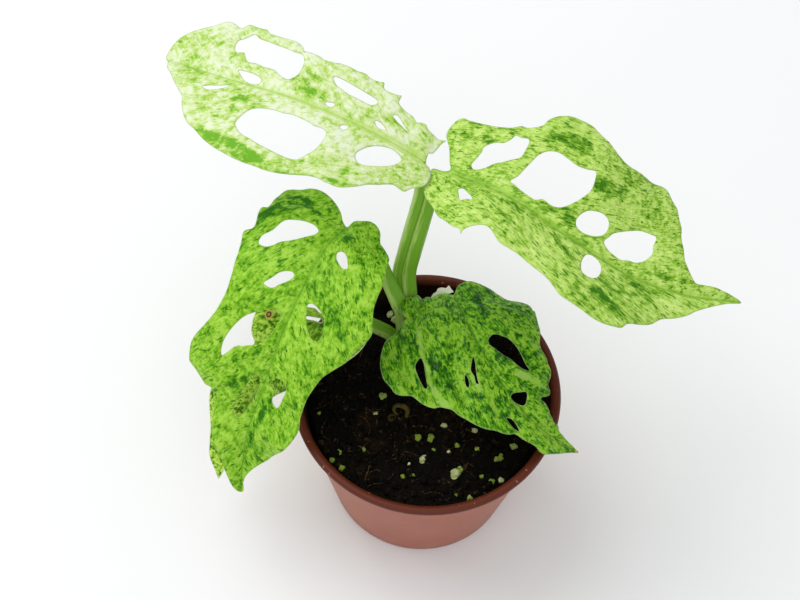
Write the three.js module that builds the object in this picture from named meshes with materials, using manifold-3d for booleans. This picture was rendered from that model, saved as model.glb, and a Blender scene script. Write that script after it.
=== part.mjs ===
// A young swiss cheese vine with five holed, marbled leaves in a small terracotta-coloured
// plastic pot. Millimetres, +Z up, origin at the centre of the pot's underside, and +Y
// pointing away from the side that the leaf tips lean to.
import * as THREE from 'three';
import { mergeVertices } from 'three/addons/utils/BufferGeometryUtils.js';
import Module from 'manifold-3d';

const wasm = await Module();
wasm.setup();

// Driving dimensions, mm.
const POT_HEIGHT = 72;
const POT_RIM_RADIUS = 50;
const POT_FOOT_RADIUS = 36;
const POT_WALL = 1.2;
const POT_FLOOR = 1.6;
const RIM_DEPTH = 3;
const RIM_LIP = 2.6;
const POT_SEGMENTS = 60;
const DRAIN_COUNT = 6;
const DRAIN_RADIUS = 3;
const DRAIN_CIRCLE = 24;
const CLEARANCE = 0.3;
const SOIL_LEVEL = 62;
const SOIL_GRID = 3.6;
const SOCKET_DEPTH = 16;
const STEM_RADIUS = 4.8;
const SOCKET_RADIUS = 5.3;
const SOCKET_SIDES = 16;
const STALK_SIDES = 12;
const BLADE_THICKNESS = 0.7;
const BLADE_GRID = 4.8;
const KEEL_HEIGHT = 0.8;
const SHEATH_GRID = 1.6;
const SHEATH_THICKNESS = 0.6;

// Where the stem stands on the soil, and the direction that stalk sections face.
const STEM_FOOT = [-7.3, 23.3];
const FACING = new THREE.Vector3(0, -0.51, 0.86);

const COLOURS = {
  pot: '#a6543a',
  soil: '#1f1712',
  stem: '#6f9c2c',
  petiole: '#86b23e',
  cream: '#cfe39a',
  lime: '#8fc23f',
  green: '#4f8a2a',
  sheath: '#dfe3c8',
};

// Larger grains lying in the soil's surface: x, y and radius.
const GRAINS = [
  [-18.1, -0.2, 1.6], [-15.8, 0.7, 1.2], [1, -17, 1.7], [3.2, -15.6, 1.2], [-2.4, -15.5, 1.2],
  [6.4, -10.5, 1.3], [17.3, -12.8, 1.5], [12.2, -18.8, 1.4], [19.3, -20, 1.3],
  [26.3, -21.6, 1.6], [28.2, -20.7, 1.2], [31.8, -18.5, 1.3], [34.4, -17.1, 1.3],
  [30.4, -23.4, 1.5], [0.2, -23.9, 1.8], [-17, 36, 1.3], [-14.2, 34.9, 1.4],
];

// Each leaf: mid holds points along the midrib, from the petiole to the tip. The folds are
// [fraction of the length, degrees that the half-blade rises from the midrib]. The curls are
// the degrees per millimetre by which it bends down again towards the edge. outline and
// holes are [distance along the midrib, distance across it].
const LEAVES = [
  {
    name: 'leaf_upper_left',
    colour: COLOURS.cream,
    mid: [[-5, 52, 142], [-25, 60, 148], [-50, 70, 150], [-76, 81, 146], [-101, 95, 138]],
    foldLeft: [[0, 12], [1, 8]],
    foldRight: [[0, 14], [1, 8]],
    curlLeft: 0.6,
    curlRight: 0.6,
    outline: [
      [0, 0], [0.8, 3.6], [-0.4, 4.4], [-1.6, 9.6], [-2.4, 11.1], [0.2, 10.2], [2, 10.4],
      [5.4, 11.2], [6.7, 12.2], [8.5, 12], [9.8, 11.3], [11.9, 12.6], [15.8, 13.2],
      [18.6, 14.7], [18.9, 17.6], [20.1, 17.2], [23.2, 16.9], [25.5, 17.5], [26.5, 19.7],
      [28.2, 19.1], [31.2, 18.8], [33.8, 19.7], [36.8, 19.5], [40, 19.9], [43.5, 19.8],
      [45.4, 19.2], [49.4, 18.8], [50.7, 19.4], [54.9, 20], [58.2, 20.2], [58.8, 21.4],
      [60.6, 22.8], [63.5, 23.9], [67.7, 24], [71.2, 24.1], [75.5, 24.5], [78.8, 26.2],
      [80.7, 26.5], [86.2, 26.5], [88.5, 26.3], [89.2, 25], [89.7, 23.6], [92.8, 24.1],
      [95.4, 24.8], [99.1, 23.8], [101.4, 21.3], [104.1, 18.7], [106.6, 15.9],
      [108.6, 13.1], [110, 10], [110.3, 6.2], [109.8, 2.5], [109.3, 0.6], [107.1, -1],
      [105, -3.8], [101.3, -6.1], [97.3, -9], [92, -12.4], [89.1, -14.4], [86.1, -18.5],
      [83, -22], [80.8, -23.7], [76.9, -25.5], [73.8, -27.4], [70.4, -29], [65.5, -30.6],
      [61.4, -31.6], [58.8, -32], [55.7, -32.2], [52.1, -32.2], [47.3, -32.6], [43.1, -32],
      [39.2, -30.7], [36.4, -29.5], [33.4, -28.3], [30, -27.7], [27.1, -28], [25.6, -27.8],
      [23.1, -27.6], [20.9, -26.8], [17, -24.1], [14, -21.2], [10.8, -19], [8.7, -17.5],
      [6.4, -16.3], [4, -16.4], [2.1, -16.3], [0.3, -13.7], [-0.7, -12.6], [-2.1, -11.4],
      [-3.1, -10], [-3.7, -7.6], [-3.5, -4], [-1.5, -1],
    ],
    holes: [
      [
        [82.7, 22.6], [83.4, 21.4], [84.5, 19.3], [86.3, 17.4], [86.3, 15.7], [84.2, 12.3],
        [82.5, 11.7], [80, 12.4], [78, 10.6], [75.8, 9], [72.9, 9.3], [68.6, 8.6], [64, 8.4],
        [61.3, 7.1], [58.5, 6.3], [57, 6.7], [55.2, 9.2], [55, 12.2], [55.4, 14.7],
        [56.6, 17.2], [58.2, 18.3], [61.3, 18.4], [65, 19], [70, 19.7], [74.1, 20.3],
        [78.5, 21], [81.5, 22.3],
      ],
      [
        [77.2, 4.6], [74.9, 4.9], [71.3, 4.8], [68.5, 4.2], [66.8, 3.2], [67, 1.6],
        [69.7, 0.8], [72.8, 1.3], [75.1, 2.8],
      ],
      [
        [85, -7.4], [82.5, -8], [79.2, -6], [76.8, -3.7], [76.2, -2.6], [78.2, -3.5],
        [81.2, -5], [83.4, -6.1],
      ],
      [
        [65.2, -18.6], [64.9, -15.4], [63.8, -12.1], [62.2, -10.3], [59.3, -9], [55.6, -8.2],
        [51.9, -8], [49.1, -7.3], [45.8, -7.5], [42.6, -7.8], [40.2, -8.5], [37.8, -8.3],
        [36, -8.6], [35, -10], [34.8, -14.1], [35.5, -17.9], [37.1, -20.8], [39.1, -24],
        [42, -24.9], [45.7, -24.9], [49.7, -24.5], [53.8, -23.9], [57.4, -22.9],
        [61.1, -22.1], [63.7, -20.4],
      ],
      [
        [22, -13.7], [22.6, -11.9], [21.7, -9.4], [20.2, -7], [17.9, -4.9], [15, -3.4],
        [12.3, -2.9], [10, -3.4], [8.2, -4.7], [8.5, -6.6], [9.8, -8.9], [12, -11.1],
        [14.9, -13.2], [18, -14.8], [20.2, -15.1],
      ],
      [
        [18.1, 9.1], [17.3, 9.9], [16.3, 9.8], [12.6, 7.6], [10.2, 6.1], [12.2, 6.8],
        [16, 7.9],
      ],
      [[22.6, 4.1], [21.3, 4.5], [18, 3], [19.6, 2.3], [21.6, 2.8]],
      [[41.3, 2.8], [40, 3.4], [38, 3.7], [38.2, 2.3], [40, 1.9]],
      [[32.4, -4.1], [31.4, -2.8], [29.9, -2.7], [30.1, -4.4], [31.6, -5.1]],
      [
        [43.1, 13.4], [41.9, 13.8], [38.5, 13.5], [34.4, 12.9], [30.5, 12.4], [27.1, 12],
        [25.3, 11.5], [25, 10.5], [26.3, 8.9], [29.4, 8.8], [32.6, 9], [35.1, 9.1],
        [38.8, 10.1], [41.2, 11.1],
      ],
    ],
  },
  {
    name: 'leaf_upper_right',
    colour: COLOURS.lime,
    mid: [
      [3, 50, 140], [24, 38, 144], [45, 25.5, 139.5], [66, 17.5, 130.5], [87, 14.5, 124],
      [106.5, 16.5, 118],
    ],
    foldLeft: [[0, 10], [0.5, 8], [1, 10]],
    foldRight: [[0, 10], [0.25, 26], [0.6, 26], [0.8, 10], [1, 10]],
    curlLeft: 0.5,
    curlRight: 0.5,
    outline: [
      [0, -1], [-1.7, -3.5], [-4.8, -8.4], [-9, -13.4], [-9.5, -16.7], [-8.9, -20.8],
      [-7.5, -22.5], [-5.1, -22.6], [-0.2, -23.2], [5.4, -24.6], [10.4, -26.3],
      [13.3, -28.6], [15.2, -28.7], [17.5, -30.5], [19.2, -32.8], [19.6, -36.2],
      [20.5, -38.3], [22.2, -40.5], [25, -43.2], [28, -44.4], [31.7, -45], [34.8, -44.1],
      [37.7, -43.5], [42.3, -43.2], [49.1, -42], [53, -40.8], [57.3, -40.7], [63.7, -41.8],
      [71, -42], [76.7, -42], [82.7, -42.7], [85.9, -41.8], [88.7, -38.3], [91.9, -34.6],
      [92.6, -30.8], [93.8, -26.5], [93.6, -22], [94.6, -17.6], [95.1, -13.3],
      [96.7, -10.1], [98.4, -7.4], [100, -5.3], [103.8, -5], [107.8, -4.7], [111.2, -3.6],
      [114.4, -2.2], [118.2, 0], [113.3, 1.1], [109, 2.3], [104.1, 3.9], [99, 6.3],
      [96, 8.7], [92.4, 10.8], [87, 13.7], [83.4, 18], [78.9, 21.5], [75, 24.6],
      [73.3, 27.6], [69.8, 29], [65, 29.7], [60, 28.8], [57, 28.5], [53.9, 28.2],
      [51.7, 26.7], [49.7, 25.1], [46.7, 24], [43.3, 23.4], [39.7, 22.6], [36.6, 22.8],
      [32.6, 23.2], [27.8, 20.5], [25.5, 20], [23.6, 21], [21.8, 23.3], [20.9, 25.6],
      [21.2, 27.8], [19.8, 25.7], [19.1, 25.2], [17, 24.8], [12.2, 22.3], [8.4, 20.6],
      [3.7, 17], [-0.3, 14.7], [-3.3, 11.3], [-4.5, 7.8], [-5, 4.8], [-5.9, 1.4],
      [-4.4, 0.6], [-2.1, 0.4],
    ],
    holes: [
      [
        [6, -5.7], [6.2, -9.2], [6.4, -12.2], [6, -14.3], [7.7, -16.8], [9.4, -17.9],
        [11.7, -18.6], [13.3, -21.2], [13.8, -23.4], [16, -23.3], [18.2, -24.2],
        [19.2, -22.7], [19.9, -18.8], [19.9, -15.5], [17.7, -13.2], [15.2, -10.9],
        [13.3, -9.6], [10.9, -6.5], [8.8, -4.7], [7.3, -4.5],
      ],
      [
        [21.7, -5.4], [22.9, -8.4], [23.3, -11.5], [23.9, -15.8], [24.5, -20], [26.2, -23.5],
        [28.7, -25.3], [32.6, -25.4], [36.9, -25.3], [40.6, -26.5], [43.8, -27.9],
        [45.6, -24.8], [46.6, -20.2], [45.5, -15.9], [43.4, -11.4], [42, -9], [39.8, -6.8],
        [37.2, -6], [34.1, -6], [32.2, -4.1], [29, -4], [25.9, -4.3], [23.8, -4.9],
      ],
      [
        [50.2, -12.7], [52.5, -14.2], [55.5, -15.3], [58.4, -14.8], [59.8, -13.2],
        [60.2, -11.2], [59.6, -8.6], [58.2, -6.9], [55.4, -5.2], [51.8, -4.4], [49.3, -5.2],
        [48.2, -7.1], [48.6, -10.1],
      ],
      [
        [60.9, -6.3], [61.9, -8.9], [63, -11.2], [65.3, -13.3], [69.4, -16.2],
        [73.6, -18.3], [78.3, -19], [81.3, -18.9], [81.5, -17.7], [80.7, -14.9],
        [80.9, -11.8], [79.6, -9.3], [77.8, -7.1], [75, -5.4], [72.2, -4.9], [69, -3.7],
        [65.7, -4], [62.8, -4.7],
      ],
      [
        [57, 3], [58.3, 1.5], [60.5, 0.9], [62.5, 2.6], [63.4, 4.8], [63.2, 8.5],
        [61.8, 11.8], [59.3, 13.3], [57.3, 12.7], [56.3, 9.5], [56.3, 6],
      ],
      [
        [8, 6.3], [9.1, 5.4], [11.4, 6.5], [14.5, 8.5], [15.3, 9.8], [13.4, 10.4],
        [12, 11.5], [9.7, 8.9],
      ],
    ],
  },
  {
    name: 'leaf_middle_left',
    colour: COLOURS.lime,
    mid: [
      [-32, 39, 119], [-40, 25, 122], [-50.5, 3, 112], [-60, -16, 88], [-65, -25, 72],
      [-67, -37, 52],
    ],
    foldLeft: [[0, 8], [1, 14]],
    foldRight: [[0, 8], [1, 14]],
    curlLeft: 0.9,
    curlRight: 0.9,
    outline: [
      [0, 0], [-0.6, 2], [-3.7, 5.2], [-6.3, 9], [-8.2, 13.2], [-9, 17.8], [-8, 21.2],
      [-5.6, 23.6], [-4.1, 26.7], [-2.5, 28.6], [1.5, 28.9], [4.6, 28.6], [8.5, 27.7],
      [9.7, 27.8], [10.2, 29.8], [12.6, 29.7], [16, 28.2], [17.7, 27.6], [19, 28],
      [20.2, 30], [21.4, 30.5], [24.1, 29.4], [28.6, 28], [32.8, 27.3], [36.7, 26.5],
      [41.4, 25.8], [45.8, 25.7], [50.4, 26.2], [54.8, 27.2], [59, 28.9], [64.4, 31.3],
      [68.4, 32.2], [71.9, 31.7], [76.1, 30.3], [78.3, 27.2], [81, 23.9], [82.2, 21.5],
      [81.7, 18.8], [82.8, 17.4], [84.3, 16], [88.7, 14.4], [93.4, 13], [96.3, 12.1],
      [99.5, 10.8], [102.9, 8.2], [107.5, 6.5], [112, 4.8], [115.7, 2.8], [117.8, 0],
      [117, -1], [113.4, -0.7], [110.5, -1.4], [107, -3.4], [103.6, -6.2], [99.2, -10],
      [91.9, -14], [86.3, -16.9], [81.3, -18.3], [77.9, -18.6], [74.6, -17.5],
      [71.9, -17.3], [65.7, -17.3], [61.1, -18.2], [55.7, -19.8], [52.6, -21.8],
      [47.3, -25.4], [44.5, -26.2], [41.1, -27.4], [37.5, -29.1], [34.8, -29.4],
      [32.3, -28.3], [29.3, -27.1], [26.3, -26], [21.5, -25.3], [17.5, -25], [10.7, -23.3],
      [6, -21.5], [3.3, -20.4], [1.6, -18], [0.3, -15.2], [-0.1, -14.2], [-4.1, -11.4],
      [-6, -8.5], [-6.2, -5.5], [-4.8, -2.9], [-3.5, -0.7], [-1.8, -0.4],
    ],
    holes: [
      [
        [22.8, 22.5], [20.2, 22.9], [16.9, 20.4], [12.1, 18.5], [9.9, 14.4], [8.8, 10.6],
        [8.7, 7.8], [9.8, 5.9], [11.6, 6], [14.6, 8.6], [17.3, 11.9], [19.5, 15.4],
        [21.6, 17.3], [23, 19.4],
      ],
      [
        [35, 13.3], [32.1, 11.6], [29.1, 9.8], [27.7, 7.8], [27.2, 5.8], [28, 4.7],
        [30.1, 5.4], [32.8, 7.8], [35.2, 9.9], [35.3, 12.1],
      ],
      [
        [15.7, -5.6], [13.7, -4.9], [12.5, -5.9], [13, -7.8], [15.2, -9.8], [17.7, -11.1],
        [18.4, -9.9], [17.3, -7.4],
      ],
      [
        [66, 18.3], [61.7, 19.4], [55.2, 18.2], [49, 15.4], [44.7, 10.9], [41.4, 4.9],
        [42.4, 2.6], [45.3, 2.8], [51.8, 4.4], [55.9, 6.9], [57.9, 10.4], [60.3, 13.8],
        [63.1, 16.1],
      ],
      [
        [35.2, -4.5], [34.3, -5.7], [34.7, -8.1], [36.9, -11.8], [40.1, -13.3],
        [43.4, -13.9], [45.1, -12.9], [45, -10.9], [43.2, -8.7], [40.7, -6.7], [37.8, -5.4],
      ],
      [
        [67.7, 4.7], [66.7, 2.6], [68.2, 1.6], [72.5, 1.5], [75.5, 1.3], [80.7, 2.6],
        [86.8, 5], [86.6, 6.5], [82, 7.8], [77.3, 7.2], [71.7, 5.9],
      ],
      [
        [64.2, -4.5], [64.6, -7.4], [66.6, -8.9], [70, -8.8], [73.6, -8.5], [74.6, -7.8],
        [73.7, -5.7], [71.8, -4.9], [69.2, -4.8], [68.3, -1.9], [66.3, -1.7],
      ],
    ],
  },
  {
    name: 'leaf_lower_left',
    colour: COLOURS.green,
    mid: [[-34.5, 22, 90], [-49, 8, 86], [-66.5, -7, 64], [-78.5, -22, 32]],
    foldLeft: [[0, 6], [1, 6]],
    foldRight: [[0, 6], [1, 6]],
    curlLeft: 0.5,
    curlRight: 0.5,
    outline: [
      [0, 0], [-2, 3], [0, 6], [3, 9], [8, 14], [14, 18.5], [19, 20.8], [24.3, 20.9],
      [28.5, 19], [31.2, 16.9], [33, 12.8], [36, 14], [39, 17.5], [43, 19.5], [52, 18.5],
      [61.6, 15.5], [68.8, 11.2], [78.2, 8.7], [84, 6.5], [88.4, 2.1], [91.5, -0.5],
      [84, -2], [74, -4], [62, -5.5], [50, -6], [41, -7.2], [35, -10], [31, -12],
      [25, -15], [15, -18.5], [5, -19], [-2, -16], [-5, -11], [-5, -6], [-2, -2],
    ],
    holes: [
      [[7.2, 0.2], [9, 2.8], [11, 5], [11.6, 4.4], [9.8, 1.8], [8.2, -0.4]],
      [[6.1, 2.5], [6.4, 5.4], [8.2, 7.9], [7, 9], [4.6, 7.6], [4, 4.5], [4.6, 2]],
    ],
  },
  {
    name: 'leaf_front',
    colour: COLOURS.green,
    mid: [
      [8, 31, 89], [13, 17, 93], [20, 4, 92.5], [29, -9, 89], [40.5, -18.5, 82.5],
      [54.5, -23, 73],
    ],
    foldLeft: [[0, -4], [1, 4]],
    foldRight: [[0, 10], [1, 14]],
    curlLeft: 0.9,
    curlRight: 0.8,
    outline: [
      [0, 0], [-1, 2.5], [-1.2, 5.5], [-0.3, 8.5], [-2, 11.6], [-2.9, 13.2], [-2.3, 14.7],
      [-2.9, 16.7], [-2.2, 18.8], [-0.4, 20.4], [1.5, 21.1], [4.5, 21.4], [6.7, 20.7],
      [7.6, 20.2], [8.5, 21.9], [9.7, 22.6], [10, 24.5], [10.9, 27], [11.6, 29.2],
      [12.9, 31.3], [15.1, 33.7], [16.5, 34.9], [18.5, 36.1], [20.5, 36.8], [22.8, 37.3],
      [24.2, 37], [26, 36.5], [28, 36.3], [29.5, 34.9], [30.7, 32.9], [31.6, 31.5],
      [33.3, 30.7], [35.2, 30], [37, 28.8], [38.4, 27.3], [38.9, 26.1], [39.1, 25],
      [40.3, 23.3], [41.5, 21.8], [43.6, 20.9], [45.6, 19.5], [46.9, 18.8], [49.1, 17.6],
      [51, 16.2], [53.1, 13.9], [54.9, 12.7], [56.8, 10.7], [57.4, 9.5], [59.1, 9],
      [60.4, 8.9], [62.1, 8.4], [63.4, 8], [65, 8], [66.3, 8.8], [67.8, 9], [70, 7.6],
      [73.1, 5.6], [76.7, 3.2], [80.2, 0.9], [82.3, -0.6], [80.6, -0.9], [78.2, -1.4],
      [75.7, -2], [73.2, -2.7], [71.2, -3.3], [70.2, -4.9], [68, -5.2], [66.5, -6.2],
      [64.4, -6.7], [61.3, -8], [58.9, -8.5], [56.6, -8.3], [56.6, -9.3], [58, -10.9],
      [58.8, -12.4], [58.1, -13.6], [55.9, -14.5], [54.5, -14.9], [53.6, -16.7],
      [51.9, -18.6], [50, -19.7], [45.8, -20.6], [43.4, -21.3], [39.4, -21.7],
      [36.8, -21.8], [34.4, -22.4], [32.2, -23.7], [29.6, -25.4], [25.8, -26.8],
      [21, -28.3], [13.5, -29.1], [8.3, -29.3], [6.7, -28.6], [5.9, -26.8], [5.4, -23.4],
      [4.9, -20.4], [2.4, -17.6], [-0.2, -15.2], [-2.6, -12.7], [-4.3, -10.4],
      [-5.2, -8.2], [-4.6, -4.5], [-3, -2.4], [-1.5, -1.4],
    ],
    holes: [
      [
        [25.8, -3.8], [24.3, -6], [24.2, -7.1], [25.1, -8.7], [26.3, -9.8], [27.1, -10.7],
        [28.7, -11.6], [30.9, -12.3], [33.3, -12.7], [36.5, -12.6], [39.4, -12.3],
        [41.9, -12.2], [43.9, -12.2], [42.6, -10.8], [40.2, -9.4], [38.2, -8.7],
        [35.3, -7.6], [33.9, -5.8], [31.4, -4.5], [28.8, -3.8],
      ],
      [
        [23.7, 25.1], [22.8, 23.9], [22.8, 22.8], [23.5, 22.1], [25, 22.3], [27.2, 23.1],
        [29, 23.9], [31, 24.7], [31.5, 25.5], [30.4, 25.9], [28.6, 25.9], [26.3, 25.7],
      ],
      [
        [48.1, 0.2], [47.6, -0.9], [48, -2.2], [49.2, -4.1], [50.1, -5.4], [51.1, -5.3],
        [52.3, -4.1], [53.5, -2.3], [53.4, -1.3], [52.2, -0.5], [50.6, 0.1], [49.2, 0.5],
      ],
      [
        [52.4, 7.4], [53.6, 6.2], [56, 6.2], [57.6, 6.9], [58.2, 7.4], [56.4, 8],
        [54.1, 7.9],
      ],
      [
        [29.3, 4.6], [31.4, 5.1], [34, 6.3], [36.6, 7.5], [38.9, 8.5], [38.4, 9.1],
        [35.7, 8.3], [33.7, 8.4], [31.6, 6.9],
      ],
      [[33.9, 10.6], [35, 10.5], [36.9, 11], [38.3, 12.2], [37.3, 12.5], [35.3, 11.7]],
    ],
  },
];

// Each petiole runs from the stem to the underside of a blade: x, y, z, half its width and
// half its depth, with its last point under the blade.
const STEM = [
  [...STEM_FOOT, SOIL_LEVEL - SOCKET_DEPTH, STEM_RADIUS, STEM_RADIUS],
  [...STEM_FOOT, SOIL_LEVEL, STEM_RADIUS, STEM_RADIUS],
  [-8.2, 26.5, 72, 4.6, 4.6], [-9.7, 31.6, 84, 4.5, 4.2],
];
const PETIOLES = [
  {
    name: 'petiole_upper_left',
    leaf: 0,
    rings: 13,
    path: [
      [-12.6, 31.8, 84.6, 1.6, 2.3], [-13.5, 36.4, 93, 1.6, 2.3], [-11.95, 39.6, 103, 1.6, 2.3],
      [-10.25, 42.6, 112, 1.6, 2.2], [-8.4, 45.8, 121, 1.6, 2.1], [-6.9, 48.9, 130, 1.6, 2],
      [-7, 52.8, 141.8, 1.5, 1.7],
    ],
  },
  {
    name: 'petiole_upper_right',
    leaf: 1,
    rings: 13,
    path: [
      [-8, 31.8, 84.6, 2.5, 2.5], [-8.85, 36.4, 93, 2.5, 2.5], [-7.35, 39.6, 103, 2.5, 2.5],
      [-5.65, 42.6, 112, 2.5, 2.4], [-3.75, 45.8, 121, 2.45, 2.3], [-1.9, 48.7, 130, 2.3, 2.1],
      [4.83, 48.95, 139.6, 1.7, 1.7],
    ],
  },
  {
    name: 'petiole_middle_left',
    leaf: 2,
    rings: 11,
    path: [
      [-8.9, 24.8, 73, 2.7, 2.2], [-9.8, 25.7, 80, 2.9, 2.2], [-12.4, 26.9, 87.5, 2.9, 2.1],
      [-17.1, 33, 95.5, 2.7, 2], [-21.7, 37.7, 103, 2.3, 1.9], [-33.1, 37.1, 118.7, 1.7, 1.7],
    ],
  },
  {
    name: 'petiole_lower_left',
    leaf: 3,
    rings: 8,
    path: [
      [-9.3, 23.6, 65.5, 2.6, 2.2], [-12.8, 22.4, 69, 2.7, 2.2], [-16.6, 21.8, 74.5, 2.7, 2.1],
      [-20.9, 21.6, 78.5, 2.6, 2], [-28.1, 21.7, 85, 2.1, 1.8], [-35.9, 20.7, 88.9, 1.5, 1.5],
    ],
  },
  {
    name: 'petiole_front',
    leaf: 4,
    rings: 8,
    path: [
      [-5.5, 25, 69, 2.2, 2], [-2, 25.4, 74, 2.1, 2], [2.5, 27, 80, 1.9, 1.9],
      [8.7, 29, 88.8, 1.6, 1.6],
    ],
  },
];

// The thin dry sheath behind the front leaf's sinus, as a small curved strip.
const SHEATH = {
  name: 'sheath_front',
  colour: COLOURS.sheath,
  mid: [[-0.4, 31.4, 85.6], [3.4, 32.4, 87], [8, 33.4, 88]],
  foldLeft: [[0, 10], [1, 6]],
  foldRight: [[0, 4], [1, 4]],
  curlLeft: 2,
  curlRight: 2,
  outline: [
    [0, 0.4], [1.4, -0.9], [2.6, -1.1], [3.6, -2.1], [5.2, -2], [6.4, -1.5], [7.7, -2.2],
    [8.3, -0.8], [8.9, 0.6], [6.8, 1], [4.4, 1.3], [1.8, 1.1],
  ],
  holes: [],
};

const UP = new THREE.Vector3(0, 0, 1);

/** A number between two stations of [fraction, value], eased at both ends. */
function easedValue(stations, fraction) {
  let i = 0;
  while (i < stations.length - 2 && fraction >= stations[i + 1][0]) {
    i += 1;
  }
  const [start, first] = stations[i];
  const [end, second] = stations[i + 1];
  const t = THREE.MathUtils.clamp((fraction - start) / (end - start), 0, 1);
  return THREE.MathUtils.lerp(first, second, t * t * (3 - 2 * t));
}

/** A curved blade: turns flat leaf coordinates into points of its middle surface. */
class Blade {
  constructor(shape) {
    this.shape = shape;
    const ends = shape.mid.map((p) => new THREE.Vector3(...p));
    this.points = this.sampleMidrib(ends);
    this.lengths = [0];
    for (let i = 1; i < this.points.length; i += 1) {
      this.lengths.push(this.lengths[i - 1] + this.points[i].distanceTo(this.points[i - 1]));
    }
    this.length = this.lengths[this.lengths.length - 1];
  }

  sampleMidrib(ends) {
    const last = ends.length - 1;
    const before = ends[0].clone().multiplyScalar(2).sub(ends[1]);
    const after = ends[last].clone().multiplyScalar(2).sub(ends[last - 1]);
    const all = [before, ...ends, after];
    const samples = [];
    for (let i = 1; i < all.length - 2; i += 1) {
      for (let k = 0; k < 40; k += 1) {
        const t = k / 40;
        const value = (axis) => {
          const [a, b, c, d] = [all[i - 1], all[i], all[i + 1], all[i + 2]].map((p) => p[axis]);
          const square = 2 * a - 5 * b + 4 * c - d;
          const cube = -a + 3 * b - 3 * c + d;
          return 0.5 * (2 * b + (c - a) * t + square * t * t + cube * t * t * t);
        };
        samples.push(new THREE.Vector3(value('x'), value('y'), value('z')));
      }
    }
    samples.push(ends[last].clone());
    return samples;
  }

  midribPoint(distance) {
    let i = 0;
    while (i < this.lengths.length - 2 && this.lengths[i + 1] < distance) {
      i += 1;
    }
    const t = (distance - this.lengths[i]) / (this.lengths[i + 1] - this.lengths[i]);
    return this.points[i].clone().lerp(this.points[i + 1], t);
  }

  /** Origin and axes of the section at a distance along the midrib. */
  frameAt(u) {
    const inside = THREE.MathUtils.clamp(u, 0, this.length);
    const ahead = this.midribPoint(Math.min(inside + 0.6, this.length));
    const behind = this.midribPoint(Math.max(inside - 0.6, 0));
    const along = ahead.sub(behind).normalize();
    const origin = this.midribPoint(inside).addScaledVector(along, u - inside);
    const across = along.clone().cross(UP).normalize();
    const normal = across.clone().cross(along);
    return { origin, along, across, normal };
  }

  pointAt(u, v) {
    const { origin, across, normal } = this.frameAt(u);
    const fraction = THREE.MathUtils.clamp(u / this.length, 0, 1);
    const right = v >= 0;
    const stations = right ? this.shape.foldRight : this.shape.foldLeft;
    const fold = THREE.MathUtils.degToRad(easedValue(stations, fraction));
    const curl = THREE.MathUtils.degToRad(right ? this.shape.curlRight : this.shape.curlLeft);
    const bent = fold - curl * Math.abs(v);
    const out = (Math.sin(fold) - Math.sin(bent)) / curl;
    const rise = (Math.cos(bent) - Math.cos(fold)) / curl;
    return origin.addScaledVector(across, right ? out : -out).addScaledVector(normal, rise);
  }
}

/** Distance from a point to a segment, in the flat. */
function segmentDistance(p, a, b) {
  const dx = b[0] - a[0];
  const dy = b[1] - a[1];
  const t = THREE.MathUtils.clamp(
    ((p[0] - a[0]) * dx + (p[1] - a[1]) * dy) / (dx * dx + dy * dy), 0, 1);
  return Math.hypot(p[0] - a[0] - t * dx, p[1] - a[1] - t * dy);
}

function turn(a, b, c) {
  return (b[0] - a[0]) * (c[1] - a[1]) - (b[1] - a[1]) * (c[0] - a[0]);
}

/** True where d lies inside the circle through a, b and c, which turn to the left. */
function insideCircle(a, b, c, d) {
  const rows = [a, b, c].map((p) => [p[0] - d[0], p[1] - d[1]]);
  const [ra, rb, rc] = rows;
  const sq = (r) => r[0] * r[0] + r[1] * r[1];
  const value = sq(ra) * (rb[0] * rc[1] - rb[1] * rc[0])
    - sq(rb) * (ra[0] * rc[1] - ra[1] * rc[0])
    + sq(rc) * (ra[0] * rb[1] - ra[1] * rb[0]);
  return value > 1e-9;
}

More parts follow.
